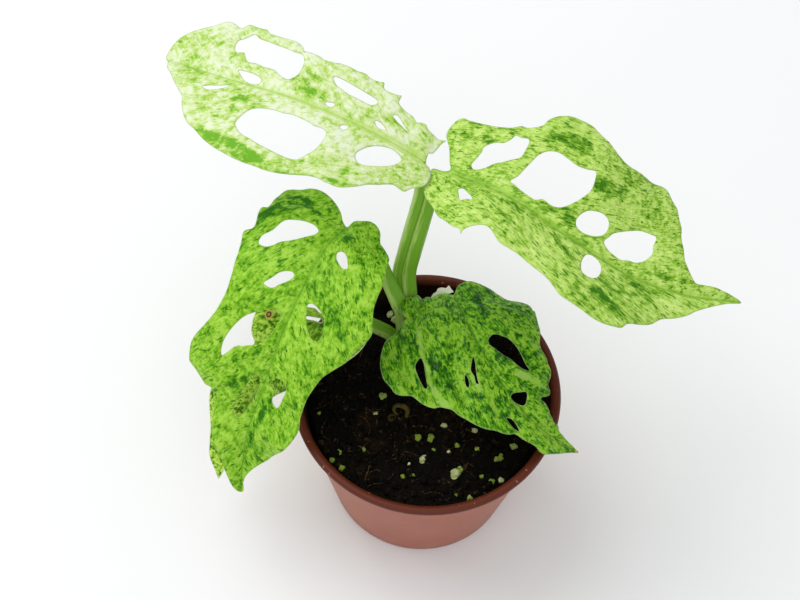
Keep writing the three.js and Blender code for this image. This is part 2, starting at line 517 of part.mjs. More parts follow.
/** Even triangles over an outline with holes, none of them long or thin. */
class FlatMesh {
  constructor(outline, holes) {
    const rings = [this.turned(outline, false), ...holes.map((h) => this.turned(h, true))];
    this.points = rings.flat();
    this.loops = [];
    this.borders = new Set();
    let start = 0;
    for (const ring of rings) {
      const loop = ring.map((_, i) => start + i);
      loop.forEach((a, i) => {
        const b = loop[(i + 1) % loop.length];
        this.borders.add(this.edgeKey(a, b));
      });
      this.loops.push(loop);
      start += ring.length;
    }
    const vectors = rings.map((ring) => ring.map((p) => new THREE.Vector2(...p)));
    this.triangles = THREE.ShapeUtils.triangulateShape(vectors[0], vectors.slice(1))
      .map((t) => (turn(...t.map((i) => this.points[i])) > 0 ? t : [t[0], t[2], t[1]]));
    this.relax();
  }

  turned(ring, clockwise) {
    const vectors = ring.map((p) => new THREE.Vector2(...p));
    return THREE.ShapeUtils.isClockWise(vectors) === clockwise ? ring : [...ring].reverse();
  }

  edgeKey(a, b) {
    return a < b ? `${a}_${b}` : `${b}_${a}`;
  }

  borderDistance(p) {
    let nearest = Infinity;
    for (const loop of this.loops) {
      for (let i = 0; i < loop.length; i += 1) {
        const a = this.points[loop[i]];
        const b = this.points[loop[(i + 1) % loop.length]];
        nearest = Math.min(nearest, segmentDistance(p, a, b));
      }
    }
    return nearest;
  }

  /** Adds a point where it falls inside a triangle and clear of every border. */
  insert(p, clearance) {
    const hit = this.triangles.findIndex((t) => {
      const [a, b, c] = t.map((i) => this.points[i]);
      return turn(a, b, p) > 1e-6 && turn(b, c, p) > 1e-6 && turn(c, a, p) > 1e-6;
    });
    if (hit < 0 || this.borderDistance(p) < clearance) {
      return;
    }
    const [a, b, c] = this.triangles[hit];
    const n = this.points.push(p) - 1;
    this.triangles.splice(hit, 1, [a, b, n], [b, c, n], [c, a, n]);
  }

  /** Flips the shared edges until no point lies in another triangle's circle. */
  relax() {
    for (let pass = 0; pass < 80; pass += 1) {
      const owners = new Map();
      this.triangles.forEach((t, index) => {
        for (let k = 0; k < 3; k += 1) {
          const key = this.edgeKey(t[k], t[(k + 1) % 3]);
          owners.set(key, [...(owners.get(key) ?? []), index]);
        }
      });
      const touched = new Set();
      for (const [key, pair] of owners) {
        if (pair.length < 2 || this.borders.has(key) || pair.some((i) => touched.has(i))) {
          continue;
        }
        if (this.flip(key, pair)) {
          pair.forEach((i) => touched.add(i));
        }
      }
      if (touched.size === 0) {
        return;
      }
    }
  }

  flip(key, pair) {
    const first = this.triangles[pair[0]];
    const second = this.triangles[pair[1]];
    const edge = key.split('_').map(Number);
    const apex = first.find((i) => !edge.includes(i));
    const foot = second.find((i) => !edge.includes(i));
    const at = first.indexOf(apex);
    const [a, b] = [first[(at + 1) % 3], first[(at + 2) % 3]];
    const [pa, pb, pc, pd] = [a, b, apex, foot].map((i) => this.points[i]);
    if (!insideCircle(pa, pb, pc, pd) || turn(pa, pd, pc) <= 1e-6 || turn(pd, pb, pc) <= 1e-6) {
      return false;
    }
    this.triangles[pair[0]] = [a, foot, apex];
    this.triangles[pair[1]] = [foot, b, apex];
    return true;
  }

  /** Fills the region with a staggered grid of points. */
  fill(spacing) {
    const xs = this.points.map((p) => p[0]);
    const ys = this.points.map((p) => p[1]);
    const rowStep = spacing * 0.866;
    let row = 0;
    for (let y = Math.min(...ys) + 0.37; y < Math.max(...ys); y += rowStep) {
      const shift = (row % 2) * spacing * 0.5 + 0.113;
      for (let x = Math.min(...xs) + shift; x < Math.max(...xs); x += spacing) {
        this.insert([x, y + 0.011 * Math.sin(3 * x)], spacing * 0.55);
      }
      row += 1;
      this.relax();
    }
  }
}

/** A closed indexed body from vertices and triangles, turned so that its faces point out. */
function closedBody(vertices, triangles) {
  let volume = 0;
  for (const [a, b, c] of triangles) {
    volume += vertices[a].dot(vertices[b].clone().cross(vertices[c]));
  }
  const faces = volume > 0 ? triangles : triangles.map(([a, b, c]) => [a, c, b]);
  const geometry = new THREE.BufferGeometry();
  const numbers = vertices.flatMap((v) => [v.x, v.y, v.z]);
  geometry.setAttribute('position', new THREE.Float32BufferAttribute(numbers, 3));
  geometry.setIndex(faces.flat());
  geometry.computeVertexNormals();
  return geometry;
}

/** The blade's thin solid: both faces follow its middle surface, with a keel underneath. */
function bladeGeometry(shape, thickness, spacing, keelHeight) {
  const blade = new Blade(shape);
  const flat = new FlatMesh(shape.outline, shape.holes);
  if (keelHeight > 0) {
    for (let u = 2.4; u < blade.length - 3; u += spacing) {
      flat.insert([u, 0.013], 0.9);
    }
    flat.relax();
  }
  flat.fill(spacing);
  const middle = flat.points.map(([u, v]) => blade.pointAt(u, v));
  const normals = middle.map(() => new THREE.Vector3());
  for (const [a, b, c] of flat.triangles) {
    const one = middle[b].clone().sub(middle[a]);
    const face = one.cross(middle[c].clone().sub(middle[a]));
    [a, b, c].forEach((i) => normals[i].add(face));
  }
  normals.forEach((n) => n.normalize());
  const upward = normals[0].z > 0 ? 1 : -1;
  const top = middle.map((p, i) => p.clone().addScaledVector(normals[i], upward * thickness / 2));
  const bottom = middle.map((p, i) => {
    const [u, v] = flat.points[i];
    const swell = THREE.MathUtils.smoothstep(u, 4, 9) * (1 - 0.8 * u / blade.length);
    const keel = Math.abs(v) < 0.1 && u > 4 ? keelHeight * swell : 0;
    return p.clone().addScaledVector(normals[i], -upward * (thickness / 2 + keel));
  });
  const count = middle.length;
  const faces = [];
  for (const [a, b, c] of flat.triangles) {
    faces.push([a, b, c], [a + count, c + count, b + count]);
  }
  for (const loop of flat.loops) {
    loop.forEach((a, i) => {
      const b = loop[(i + 1) % loop.length];
      faces.push([a, a + count, b + count], [a, b + count, b]);
    });
  }
  return closedBody([...top, ...bottom], faces);
}

/** A round stalk along a path of [x, y, z, half width, half depth]. */
function stalkGeometry(path, rings, grow = 0, seat = null) {
  const curve = new THREE.CatmullRomCurve3(
    path.map((p) => new THREE.Vector3(p[0], p[1], p[2])), false, 'catmullrom', 0.5);
  const last = path.length - 1;
  const vertices = [];
  for (let k = 0; k < rings; k += 1) {
    const t = k / (rings - 1);
    const centre = curve.getPoint(t);
    const along = curve.getTangent(t);
    const across = along.clone().cross(FACING).normalize();
    const depth = across.clone().cross(along);
    const at = Math.min(Math.floor(t * last), last - 1);
    const blend = t * last - at;
    const wide = THREE.MathUtils.lerp(path[at][3], path[at + 1][3], blend) + grow;
    const deep = THREE.MathUtils.lerp(path[at][4], path[at + 1][4], blend) + grow;
    if (k === 0) {
      centre.addScaledVector(along, -grow);
    }
    for (let s = 0; s < STALK_SIDES; s += 1) {
      const angle = (s / STALK_SIDES) * Math.PI * 2;
      const p = centre.clone().addScaledVector(across, wide * Math.cos(angle));
      p.addScaledVector(depth, deep * Math.sin(angle));
      if (seat && k === rings - 1) {
        const slide = centre.clone().sub(p).dot(seat) / along.dot(seat);
        p.addScaledVector(along, slide);
      }
      vertices.push(p);
    }
  }
  const start = vertices.push(curve.getPoint(0).addScaledVector(curve.getTangent(0), -grow)) - 1;
  const end = vertices.push(curve.getPoint(1)) - 1;
  const faces = [];
  for (let s = 0; s < STALK_SIDES; s += 1) {
    const next = (s + 1) % STALK_SIDES;
    for (let k = 0; k < rings - 1; k += 1) {
      const low = k * STALK_SIDES;
      const high = low + STALK_SIDES;
      faces.push([low + s, low + next, high + next], [low + s, high + next, high + s]);
    }
    const top = (rings - 1) * STALK_SIDES;
    faces.push([start, next, s], [end, top + s, top + next]);
  }
  return closedBody(vertices, faces);
}

function toSolid(geometry) {
  const bare = geometry.clone();
  bare.deleteAttribute('normal');
  bare.deleteAttribute('uv');
  const merged = mergeVertices(bare, 1e-4);
  return new wasm.Manifold(new wasm.Mesh({
    numProp: 3,
    vertProperties: new Float32Array(merged.attributes.position.array),
    triVerts: new Uint32Array(merged.index.array),
  }));
}

function fromSolid(solid) {
  const mesh = solid.getMesh();
  const geometry = new THREE.BufferGeometry();
  geometry.setAttribute('position', new THREE.BufferAttribute(mesh.vertProperties, 3));
  geometry.setIndex(new THREE.BufferAttribute(mesh.triVerts, 1));
  geometry.computeVertexNormals();
  return geometry;
}

/** The pot's inside radius at a height. */
function potInside(z) {
  const rise = (z - POT_FLOOR) / (POT_HEIGHT - RIM_DEPTH - POT_FLOOR);
  return THREE.MathUtils.lerp(POT_FOOT_RADIUS - POT_WALL, POT_RIM_RADIUS - RIM_LIP - POT_WALL, rise);
}

function potGeometry() {
  const wallTop = POT_RIM_RADIUS - RIM_LIP;
  const underRim = POT_HEIGHT - RIM_DEPTH;
  const profile = [
    [0, 0], [POT_FOOT_RADIUS - 1.2, 0], [POT_FOOT_RADIUS - 0.2, 0.8],
    [POT_FOOT_RADIUS, 1.8], [wallTop, underRim], [POT_RIM_RADIUS - 0.6, underRim + 0.1],
    [POT_RIM_RADIUS, underRim + 1], [POT_RIM_RADIUS - 0.1, POT_HEIGHT - 0.8],
    [POT_RIM_RADIUS - 0.9, POT_HEIGHT], [POT_RIM_RADIUS - 1.9, POT_HEIGHT],
    [wallTop - 0.2, POT_HEIGHT - 0.6], [potInside(underRim) + 0.1, underRim + 0.4],
    [potInside(underRim - 1), underRim - 1], [potInside(POT_FLOOR + 1.4), POT_FLOOR + 1.4],
    [potInside(POT_FLOOR) - 1.2, POT_FLOOR], [0, POT_FLOOR],
  ].map(([r, z]) => new THREE.Vector2(r, z));
  const shell = new THREE.LatheGeometry(profile, POT_SEGMENTS);
  shell.rotateX(Math.PI / 2);
  let solid = toSolid(shell);
  for (let i = 0; i < DRAIN_COUNT; i += 1) {
    const angle = (i + 0.5) * Math.PI * 2 / DRAIN_COUNT;
    const drill = new THREE.CylinderGeometry(DRAIN_RADIUS, DRAIN_RADIUS, POT_FLOOR * 4, 12);
    drill.rotateX(Math.PI / 2);
    drill.translate(DRAIN_CIRCLE * Math.cos(angle), DRAIN_CIRCLE * Math.sin(angle), 0);
    solid = solid.subtract(toSolid(drill));
  }
  return fromSolid(solid);
}

/** Height of the crumbly soil, with its larger grains standing out of it. */
function soilHeight(x, y) {
  const rolling = 0.5 * Math.sin(0.21 * x + 1.3) * Math.cos(0.17 * y) - 0.0004 * (x * x + y * y);
  const crumbs = 0.35 * Math.sin(1.7 * x + 2.1 * Math.sin(0.9 * y))
    + 0.3 * Math.sin(1.3 * y + 1.7 * Math.sin(1.1 * x));
  let grains = 0;
  for (const [gx, gy, radius] of GRAINS) {
    const far = Math.hypot(x - gx, y - gy) / radius;
    grains = Math.max(grains, 1.1 * radius * Math.exp(-far * far));
  }
  return SOIL_LEVEL + rolling + crumbs + grains;
}

function circlePoints(radius, sides, centre = [0, 0]) {
  return Array.from({ length: sides }, (_, i) => {
    const angle = (i / sides) * Math.PI * 2;
    return [centre[0] + radius * Math.sin(angle), centre[1] - radius * Math.cos(angle)];
  });
}

/** The soil fills the pot; the stem stands in a plain round socket in it. */
function soilGeometry() {
  const floor = POT_FLOOR + CLEARANCE;
  const topRadius = potInside(SOIL_LEVEL - 2.2) - CLEARANCE;
  const floorRadius = potInside(floor) - CLEARANCE - 1.4;
  const socket = circlePoints(SOCKET_RADIUS, SOCKET_SIDES, STEM_FOOT);
  const flat = new FlatMesh(circlePoints(topRadius, POT_SEGMENTS), [socket]);
  for (const [x, y] of GRAINS) {
    flat.insert([x, y], 0.8);
  }
  flat.fill(SOIL_GRID);
  const edge = flat.loops[0];
  const vertices = flat.points.map(([x, y], i) => {
    const z = i < edge.length ? SOIL_LEVEL - 2.2 : soilHeight(x, y);
    return new THREE.Vector3(x, y, z);
  });
  const faces = [...flat.triangles];
  const closeLoop = (loop, place, height, centre) => {
    const middle = vertices.push(new THREE.Vector3(centre[0], centre[1], height)) - 1;
    const low = loop.map((i) => vertices.push(place(vertices[i])) - 1);
    loop.forEach((a, i) => {
      const next = (i + 1) % loop.length;
      faces.push([a, low[i], low[next]], [a, low[next], loop[next]]);
      faces.push([middle, low[next], low[i]]);
    });
  };
  const shrink = floorRadius / topRadius;
  closeLoop(edge, (p) => new THREE.Vector3(p.x * shrink, p.y * shrink, floor), floor, [0, 0]);
  const pit = SOIL_LEVEL - SOCKET_DEPTH - CLEARANCE;
  closeLoop(flat.loops[1], (p) => new THREE.Vector3(p.x, p.y, pit), pit, STEM_FOOT);
  return closedBody(vertices, faces);
}

/** The short thick stem, hollowed where the petiole bases lie in it. */
function stemGeometry() {
  let solid = toSolid(stalkGeometry(STEM, 8));
  for (const petiole of PETIOLES.slice(2)) {
    solid = solid.subtract(toSolid(stalkGeometry(petiole.path, petiole.rings, CLEARANCE)));
  }
  return fromSolid(solid);
}

const plant = new THREE.Group();

function addPiece(name, geometry, colour, roughness) {
  const material = new THREE.MeshStandardMaterial({ color: colour, roughness, metalness: 0 });
  const mesh = new THREE.Mesh(geometry, material);
  mesh.name = name;
  plant.add(mesh);
}

addPiece('pot', potGeometry(), COLOURS.pot, 0.5);
addPiece('soil', soilGeometry(), COLOURS.soil, 0.95);
addPiece('stem', stemGeometry(), COLOURS.stem, 0.45);
for (const petiole of PETIOLES) {
  const { normal } = new Blade(LEAVES[petiole.leaf]).frameAt(2);
  addPiece(petiole.name, stalkGeometry(petiole.path, petiole.rings, 0, normal), COLOURS.petiole, 0.4);
}
for (const leaf of LEAVES) {
  const geometry = bladeGeometry(leaf, BLADE_THICKNESS, BLADE_GRID, KEEL_HEIGHT);
  addPiece(leaf.name, geometry, leaf.colour, 0.4);
}
const sheath = bladeGeometry(SHEATH, SHEATH_THICKNESS, SHEATH_GRID, 0);
addPiece(SHEATH.name, sheath, SHEATH.colour, 0.7);

export default plant;
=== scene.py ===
"""A young swiss cheese vine with five holed, marbled leaves in a small terracotta-coloured pot.

Lengths are millimetres until a mesh is made. +Z is up, the origin is the centre of the pot's
underside, and the leaf tips lean towards -Y. A blade is described flat, by the distance along
its midrib and the distance across it, and is then bent into place.
"""
import logging
import math
import random
from dataclasses import dataclass
from enum import Enum
from typing import Iterable, NamedTuple, Sequence

import bpy
import numpy as np
from mathutils import Matrix, Vector, noise
from mathutils.geometry import delaunay_2d_cdt


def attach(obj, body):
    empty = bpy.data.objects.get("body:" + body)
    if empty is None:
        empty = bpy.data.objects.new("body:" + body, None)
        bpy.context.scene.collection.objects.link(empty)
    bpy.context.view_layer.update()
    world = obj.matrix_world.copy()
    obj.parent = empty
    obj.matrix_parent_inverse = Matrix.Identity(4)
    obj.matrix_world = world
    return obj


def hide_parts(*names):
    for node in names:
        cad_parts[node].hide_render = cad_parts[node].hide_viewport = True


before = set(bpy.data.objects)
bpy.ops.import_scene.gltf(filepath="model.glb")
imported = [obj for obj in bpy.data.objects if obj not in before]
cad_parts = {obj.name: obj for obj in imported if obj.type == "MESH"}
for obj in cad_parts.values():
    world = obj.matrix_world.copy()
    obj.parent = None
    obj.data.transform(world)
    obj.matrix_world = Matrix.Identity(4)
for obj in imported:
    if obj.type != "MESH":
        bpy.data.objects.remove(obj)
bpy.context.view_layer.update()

MM = 0.001
BLOCK = 1500
LOG = logging.getLogger("vine")

Colour = tuple[float, float, float, float]
Pair = tuple[float, float]
Triple = tuple[float, float, float]


def tint(red: int, green: int, blue: int) -> Colour:
    """Turns a display colour into the linear colour that a shader takes.

    Args:
        red: the red channel, from 0 to 255, and green and blue likewise.
        green: the green channel.
        blue: the blue channel.

    Returns:
        Red, green, blue and full cover.
    """
    def linear(level: int) -> float:
        """One channel from display to linear light."""
        share = level / 255
        return share / 12.92 if share <= 0.04045 else ((share + 0.055) / 1.055) ** 2.4

    return linear(red), linear(green), linear(blue), 1.0


def smooth(low: float, high: float, value: np.ndarray) -> np.ndarray:
    """Rises softly from 0 at low to 1 at high."""
    share = np.clip((value - low) / (high - low), 0.0, 1.0)
    return share * share * (3.0 - 2.0 * share)


def unit(vectors: np.ndarray) -> np.ndarray:
    """Scales each row to length 1."""
    return vectors / np.maximum(np.linalg.norm(vectors, axis=-1, keepdims=True), 1e-12)


def ripple(points: np.ndarray, size: float, seed: float) -> np.ndarray:
    """Smooth noise of about -1 to 1.

    Args:
        points: rows of two or three coordinates, in millimetres.
        size: width of one swell, in millimetres.
        seed: shifts the noise, so that two uses differ.

    Returns:
        One value for each row.
    """
    rows = points / size
    if rows.shape[1] == 2:
        rows = np.column_stack([rows, np.zeros(len(rows))])
    return np.array([noise.noise((x + seed, y - seed, z + 0.37 * seed)) for x, y, z in rows])


def spline(points: np.ndarray, steps: int) -> np.ndarray:
    """A uniform Catmull-Rom curve through points, with mirrored ends.

    Args:
        points: rows of coordinates, two at least.
        steps: samples in each span.

    Returns:
        The samples, the last point among them.
    """
    ends = np.vstack([2 * points[0] - points[1], points, 2 * points[-1] - points[-2]])
    t = (np.arange(steps) / steps)[:, None]
    spans = []
    for a, b, c, d in zip(ends, ends[1:], ends[2:], ends[3:]):
        square = 2 * a - 5 * b + 4 * c - d
        cube = -a + 3 * b - 3 * c + d
        spans.append(0.5 * (2 * b + (c - a) * t + square * t ** 2 + cube * t ** 3))
    return np.vstack([*spans, points[-1:]])


def ring_spline(points: np.ndarray, spacing: float) -> np.ndarray:
    """A closed centripetal curve through points.

    Args:
        points: rows of coordinates.
        spacing: distance between the samples, about.

    Returns:
        The samples.
    """
    count = len(points)
    samples = []
    for i in range(count):
        a, b, c, d = (points[(i + k) % count] for k in (-1, 0, 1, 2))
        knots = [0.0]
        for one, two in ((a, b), (b, c), (c, d)):
            knots.append(knots[-1] + max(float(np.linalg.norm(two - one)) ** 0.5, 1e-3))
        k0, k1, k2, k3 = knots
        steps = max(1, round(float(np.linalg.norm(c - b)) / spacing))
        for t in k1 + (k2 - k1) * np.arange(steps) / steps:
            ab = a * (k1 - t) / (k1 - k0) + b * (t - k0) / (k1 - k0)
            bc = b * (k2 - t) / (k2 - k1) + c * (t - k1) / (k2 - k1)
            cd = c * (k3 - t) / (k3 - k2) + d * (t - k2) / (k3 - k2)
            abc = ab * (k2 - t) / (k2 - k0) + bc * (t - k0) / (k2 - k0)
            bcd = bc * (k3 - t) / (k3 - k1) + cd * (t - k1) / (k3 - k1)
            samples.append(abc * (k2 - t) / (k2 - k1) + bcd * (t - k1) / (k2 - k1))
    return np.array(samples)


def segment_distance(points: np.ndarray, starts: np.ndarray, ends: np.ndarray) -> np.ndarray:
    """Distance from each flat point to the nearest segment.

    Args:
        points: rows of two coordinates.
        starts: where each segment starts.
        ends: where each segment ends.

    Returns:
        One distance for each point.
    """
    span = ends - starts
    square = np.maximum((span ** 2).sum(1), 1e-12)
    nearest = []
    for block in np.array_split(points, max(1, len(points) // BLOCK)):
        away = block[:, None, :] - starts[None]
        along = np.clip((away * span).sum(2) / square, 0.0, 1.0)
        nearest.append(np.sqrt(((away - along[..., None] * span) ** 2).sum(2)).min(1))
    return np.concatenate(nearest)


def inside(points: np.ndarray, starts: np.ndarray, ends: np.ndarray) -> np.ndarray:
    """Tells which flat points an odd number of rings surrounds.

    Args:
        points: rows of two coordinates.
        starts: where each side of the rings starts.
        ends: where each side of the rings ends.

    Returns:
        True or false for each point.
    """
    answers = []
    for block in np.array_split(points, max(1, len(points) // BLOCK)):
        x, y = block[:, :1], block[:, 1:]
        crosses = (starts[None, :, 1] > y) != (ends[None, :, 1] > y)
        rise = ends[:, 1] - starts[:, 1]
        rise = np.where(np.abs(rise) < 1e-12, 1e-12, rise)
        at = starts[:, 0] + (y - starts[:, 1]) * (ends[:, 0] - starts[:, 0]) / rise
        answers.append((crosses & (x < at)).sum(1) % 2 == 1)
    return np.concatenate(answers)


class Signal:
    """One output socket of a material, used like a number in an expression."""

    def __init__(self, graph: "Graph", socket: bpy.types.NodeSocket) -> None:
        """Keeps the socket and the graph that it belongs to."""
        self.graph = graph
        self.socket = socket

    def math(self, operation: str, *operands: "float | Signal") -> "Signal":
        """Adds a Math node that works on the operands."""
        node = self.graph.node(
            "ShaderNodeMath", {"operation": operation}, dict(enumerate(operands)))
        return Signal(self.graph, node.outputs[0])

    def __add__(self, other: "float | Signal") -> "Signal":
        """The sum."""
        return self.math("ADD", self, other)

    __radd__ = __add__

    def __sub__(self, other: "float | Signal") -> "Signal":
        """The difference."""
        return self.math("SUBTRACT", self, other)

    def __rsub__(self, other: "float | Signal") -> "Signal":
        """The difference, with the number first."""
        return self.math("SUBTRACT", other, self)

    def __mul__(self, other: "float | Signal") -> "Signal":
        """The product."""
        return self.math("MULTIPLY", self, other)

    __rmul__ = __mul__

    def __abs__(self) -> "Signal":
        """The size without its sign."""
        return self.math("ABSOLUTE", self)

    def between(self, low: float, high: float) -> "Signal":
        """Rises softly from 0 at low to 1 at high; low may be the larger."""
        node = self.graph.node(
            "ShaderNodeMapRange", {"interpolation_type": "SMOOTHSTEP"},
            {"Value": self, "From Min": low, "From Max": high})
        return Signal(self.graph, node.outputs["Result"])


class Graph:
    """The nodes of one material."""

    def __init__(self, name: str) -> None:
        """Starts an empty material.

        Args:
            name: the material's name.
        """
        self.material = bpy.data.materials.new(name)
        self.material.use_nodes = True
        self.tree = self.material.node_tree
        self.tree.nodes.clear()

    def node(self, kind: str, settings: dict[str, object],
             sockets: dict[int | str, object]) -> bpy.types.Node:
        """Adds a node.

        Args:
            kind: the node's type.
            settings: its own properties, which are set first.
            sockets: values, or signals to link, by input name or number.

        Returns:
            The node.
        """
        node = self.tree.nodes.new(kind)
        for name, value in settings.items():
            setattr(node, name, value)
        for name, value in sockets.items():
            if isinstance(value, Signal):
                self.tree.links.new(value.socket, node.inputs[name])
            else:
                node.inputs[name].default_value = value
        return node

    def measure(self, name: str) -> Signal:
        """A number that the mesh carries at each vertex."""
        node = self.node("ShaderNodeAttribute", {"attribute_name": name}, {})
        return Signal(self, node.outputs["Fac"])

    def triple(self, name: str) -> tuple[Signal, Signal, Signal]:
        """Three numbers that the mesh carries at each vertex."""
        node = self.node("ShaderNodeAttribute", {"attribute_name": name}, {})
        return self.split(Signal(self, node.outputs["Vector"]))

    def split(self, vector: Signal) -> tuple[Signal, Signal, Signal]:
        """The three numbers of a vector."""
        node = self.node("ShaderNodeSeparateXYZ", {}, {0: vector})
        return tuple(Signal(self, output) for output in node.outputs)

    def join(self, x: "float | Signal", y: "float | Signal", z: "float | Signal") -> Signal:
        """A vector made of three numbers."""
        node = self.node("ShaderNodeCombineXYZ", {}, {0: x, 1: y, 2: z})
        return Signal(self, node.outputs[0])

    def place(self) -> Signal:
        """The point on the object, in millimetres."""
        spot = self.node("ShaderNodeTexCoord", {}, {})
        node = self.node("ShaderNodeVectorMath", {"operation": "SCALE"},
                         {0: Signal(self, spot.outputs["Object"]), "Scale": 1 / MM})
        return Signal(self, node.outputs[0])

    def grain(self, place: Signal, scale: float, detail: float = 2.0, rough: float = 0.5,
              twist: float = 0.0) -> Signal:
        """Noise of 0 to 1 around a half.

        Args:
            place: where the noise is read.
            scale: swells in each unit of place.
            detail: finer layers on top.
            rough: how much the finer layers count.
            twist: how far the noise bends itself.

        Returns:
            The noise.
        """
        node = self.node("ShaderNodeTexNoise", {}, {
            "Vector": place, "Scale": scale, "Detail": detail, "Roughness": rough,
            "Distortion": twist})
        return Signal(self, node.outputs[0])

    def cells(self, place: Signal, scale: float) -> Signal:
        """A random number of 0 to 1 for each cell, with scale cells in each millimetre."""
        node = self.node("ShaderNodeTexVoronoi", {}, {"Vector": place, "Scale": scale})
        return self.split(Signal(self, node.outputs["Color"]))[0]

    def blend(self, share: "float | Signal", first: "Colour | Signal",
              second: "Colour | Signal") -> Signal:
        """A colour between two, all second where share is 1."""
        node = self.node("ShaderNodeMix", {"data_type": "RGBA"},
                         {0: share, 6: first, 7: second})
        return Signal(self, node.outputs[2])

    def relief(self, height: Signal, depth: float) -> Signal:
        """A normal bent by a height of 0 to 1 that stands depth millimetres."""
        sockets = {"Height": height, "Distance": depth * MM, "Strength": 1.0}
        return Signal(self, self.node("ShaderNodeBump", {}, sockets).outputs[0])

    def surface(self, sockets: dict[str, object]) -> bpy.types.Material:
        """Ends the material in one glossy and matt surface.

        Args:
            sockets: the surface's values and signals, by input name.

        Returns:
            The material.
        """
        shader = self.node("ShaderNodeBsdfPrincipled", {}, sockets)
        end = self.node("ShaderNodeOutputMaterial", {}, {})
        self.tree.links.new(shader.outputs[0], end.inputs[0])
        return self.material


# Where one leaf colour gives way to the next, on the scale of the summed noises.
PALE_TO_LIGHT = (-0.15, -0.01)
LIGHT_TO_LUSH = (0.0, 0.11)
LUSH_TO_DEEP = (0.12, 0.26)
DASH_EDGE = (0.6, 0.67)
# The next two set where the painted sheen and the painted highlight along the crests begin.
SHEEN_EDGE = (0.6, 0.74)
CREST_HIGHLIGHT_EDGE = (0.8, 2.0)
MARK_WEIGHT = 0.145


